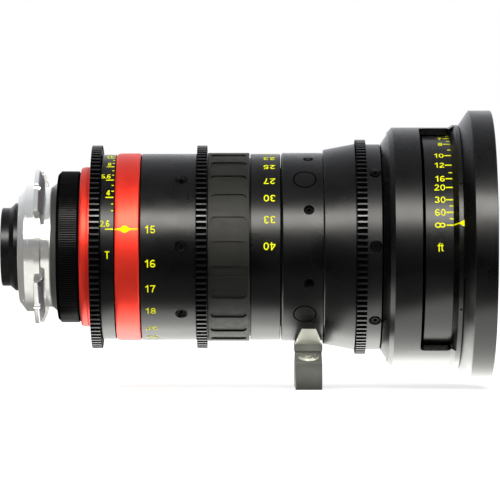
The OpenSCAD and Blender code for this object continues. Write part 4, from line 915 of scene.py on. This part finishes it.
# %% Sheet and strip
STRIP_FADE = 12 * MM
FOOT_X = 113.3 * MM
FOOT_HALF, FOOT_CLEAR = 5.5 * MM, 8.5 * MM
near_sheet = add(tree, "MapRange", {VALUE: past_edge, FROM_LOW: -100 * MM, FROM_HIGH: -30 * MM,
                                    TO_LOW: 0.05, TO_HIGH: 1.0})
strip = add(tree, "MapRange", {VALUE: past_edge, FROM_LOW: -7 * MM, FROM_HIGH: 7 * MM,
                               TO_LOW: 0.0, TO_HIGH: 10.0})
behind = add(tree, "Math", {0: on_floor.outputs["Y"], 1: 0.0}, operation="MAXIMUM")
behind = add(tree, "Math", {0: behind, 1: STRIP_FADE}, operation="ADD")
fading = add(tree, "Math", {0: STRIP_FADE, 1: behind}, operation="DIVIDE")
from_foot = add(tree, "Math", {0: on_floor.outputs["X"], 1: FOOT_X}, operation="SUBTRACT")
from_foot = add(tree, "Math", {0: from_foot}, operation="ABSOLUTE")
beside_foot = add(tree, "MapRange", {VALUE: from_foot, FROM_LOW: FOOT_HALF,
                                     FROM_HIGH: FOOT_CLEAR})
clear_of_foot = add(tree, "Math", {0: beside_foot, 1: zone["past_foot"]}, operation="MAXIMUM")
for share in (fading, clear_of_foot, zone["ends_past_front"]):
    strip = add(tree, "Math", {0: strip, 1: share}, operation="MULTIPLY")
beside_rings = add(tree, "Math", {0: 1.0, 1: zone["beside_mount"]}, operation="SUBTRACT")
sheet = add(tree, "Math", {0: near_sheet, 1: strip}, operation="ADD")
sheet = add(tree, "Math", {0: beside_rings, 1: sheet}, operation="MULTIPLY")
sheets = add(tree, "Math", {0: card, 1: sheet}, operation="ADD")
mirrored = add(tree, "Emission", {"Color": srgb("#FFFFFA"), "Strength": sheets})
shown = add(tree, "MixShader", {0: seen.outputs["Is Glossy Ray"], 1: to_camera, 2: mirrored})
add(tree, "OutputMaterial", {0: shown})
floor_mesh.materials.append(paper)
print(len(tree.nodes), "nodes in the paper")

# %% [markdown]
# ## The room
# The world is white where the camera looks at it or through glass. As light it
# gives only a low soft fill, so that the lamps shape the rings. What the metal
# mirrors is a wall that is brighter behind the lens than behind the camera, and
# darker to the left, where a black flag keeps the mount's edges from burning out.

# %% World
world = bpy.data.worlds.new("studio")
scene.world = world
world.use_nodes = True
tree = world.node_tree
tree.nodes.clear()
seen = add(tree, "LightPath")
room = add(tree, "Background", {"Color": srgb("#FFFFFF"), "Strength": 1.0})
fill = add(tree, "Background", {"Color": srgb("#F2F5FA"), "Strength": 0.3})
towards = add(tree, "SeparateXYZ", {0: add(tree, "TexCoord").outputs["Generated"]})
wall = add(tree, "MapRange", {VALUE: towards.outputs["Y"], FROM_LOW: -1, FROM_HIGH: 1,
                              TO_LOW: 0.35, TO_HIGH: 1.5})
flag = add(tree, "MapRange", {VALUE: towards.outputs["X"], FROM_LOW: -1, FROM_HIGH: -0.3,
                              TO_LOW: 0.35, TO_HIGH: 1.0})
wall = add(tree, "Math", {0: wall, 1: flag}, operation="MULTIPLY")
mirrored = add(tree, "Background", {"Color": srgb("#F8FAFF"), "Strength": wall})
direct = add(tree, "Math", {0: seen.outputs["Is Camera Ray"],
                            1: seen.outputs["Is Transmission Ray"]}, operation="MAXIMUM")
pick = add(tree, "MixShader", {0: direct, 1: fill, 2: room})
last = add(tree, "MixShader", {0: seen.outputs["Is Glossy Ray"], 1: pick, 2: mirrored})
add(tree, "OutputWorld", {0: last})
print("world set")

# %% [markdown]
# ## Lamps
# The pale band that runs along every ring is the mirror image of one long light
# above the camera. It has a bright strip and a wide soft sheet round it, made by
# two glowing cards that only glossy skins see. A soft box at the same angle
# lights what is dull, and a cooler one overhead lifts the top edge.

# %% Soft boxes and mirror cards
MIDDLE = Vector((0.089, 0, 0))
KEY_ANGLE, OVERHEAD_ANGLE = 33, 100
LAMP_AWAY = 0.85
WARM_WHITE, COOL_WHITE = "#FFFDF6", "#EEF3FF"


def seen_from(angle, away):
    """A place off the axis at an angle above the camera's side, and its turn."""
    turn = math.radians(angle)
    place = Vector((0, -math.cos(turn), math.sin(turn))) * away
    return MIDDLE + place, (-place).to_track_quat("-Z", "Y").to_euler()


def soft_box(name, angle, size_m, radiance, colour):
    """An area lamp that lights dull skin and shows in no mirror."""
    lamp = bpy.data.lights.new(name, "AREA")
    lamp.shape, lamp.size, lamp.size_y = "RECTANGLE", size_m[0], size_m[1]
    lamp.energy = radiance * math.pi * size_m[0] * size_m[1]
    lamp.color = srgb(colour)[:3]
    holder = bpy.data.objects.new(name, lamp)
    holder.location, holder.rotation_euler = seen_from(angle, LAMP_AWAY)
    holder.visible_glossy = False
    scene.collection.objects.link(holder)


def mirror_card(name, angle, away, size_m, radiance, colour):
    """A glowing card that only shows where a glossy skin mirrors it."""
    half_x, half_y = size_m[0] / 2, size_m[1] / 2
    mesh = bpy.data.meshes.new(name)
    mesh.from_pydata([(-half_x, -half_y, 0), (half_x, -half_y, 0), (half_x, half_y, 0),
                      (-half_x, half_y, 0)], [], [(0, 1, 2, 3)])
    glowing = bpy.data.materials.new(name)
    glowing.use_nodes = True
    tree = glowing.node_tree
    tree.nodes.clear()
    light = add(tree, "Emission", {"Color": srgb(colour), "Strength": radiance})
    add(tree, "OutputMaterial", {0: light})
    glowing.cycles.emission_sampling = "NONE"
    mesh.materials.append(glowing)
    card = bpy.data.objects.new(name, mesh)
    card.location, card.rotation_euler = seen_from(angle, away)
    for sight in ("camera", "diffuse", "transmission", "shadow", "volume_scatter"):
        setattr(card, "visible_" + sight, False)
    scene.collection.objects.link(card)


mirror_card("key_strip", KEY_ANGLE, LAMP_AWAY, (1.3, 0.28), 46.0, WARM_WHITE)
mirror_card("key_sheet", KEY_ANGLE, 0.9, (1.4, 0.61), 2.5, WARM_WHITE)
soft_box("key_box", KEY_ANGLE, (1.3, 0.5), 3.2, WARM_WHITE)
soft_box("overhead", OVERHEAD_ANGLE, (1.2, 0.7), 1.0, COOL_WHITE)

# %% [markdown]
# ## Camera
# The photograph looks square on at the side from about a metre and a half with
# a long lens, so near and far edges differ by only a few per cent.

# %% Camera
PHOTO_SIDE = 500
FOCAL_PIXELS = 3560
SENSOR_MM = 36
CAMERA_PLACE = Vector((88.9, -1490, -1.34)) * MM
camera = bpy.data.cameras.new("camera")
camera.sensor_width = SENSOR_MM
camera.lens = FOCAL_PIXELS / PHOTO_SIDE * SENSOR_MM
camera_holder = bpy.data.objects.new("camera", camera)
camera_holder.location = CAMERA_PLACE
camera_holder.rotation_euler = (math.pi / 2, 0, 0)
scene.collection.objects.link(camera_holder)
scene.camera = camera_holder
scene.view_settings.view_transform = "Standard"
print("lens", round(camera.lens), "mm")
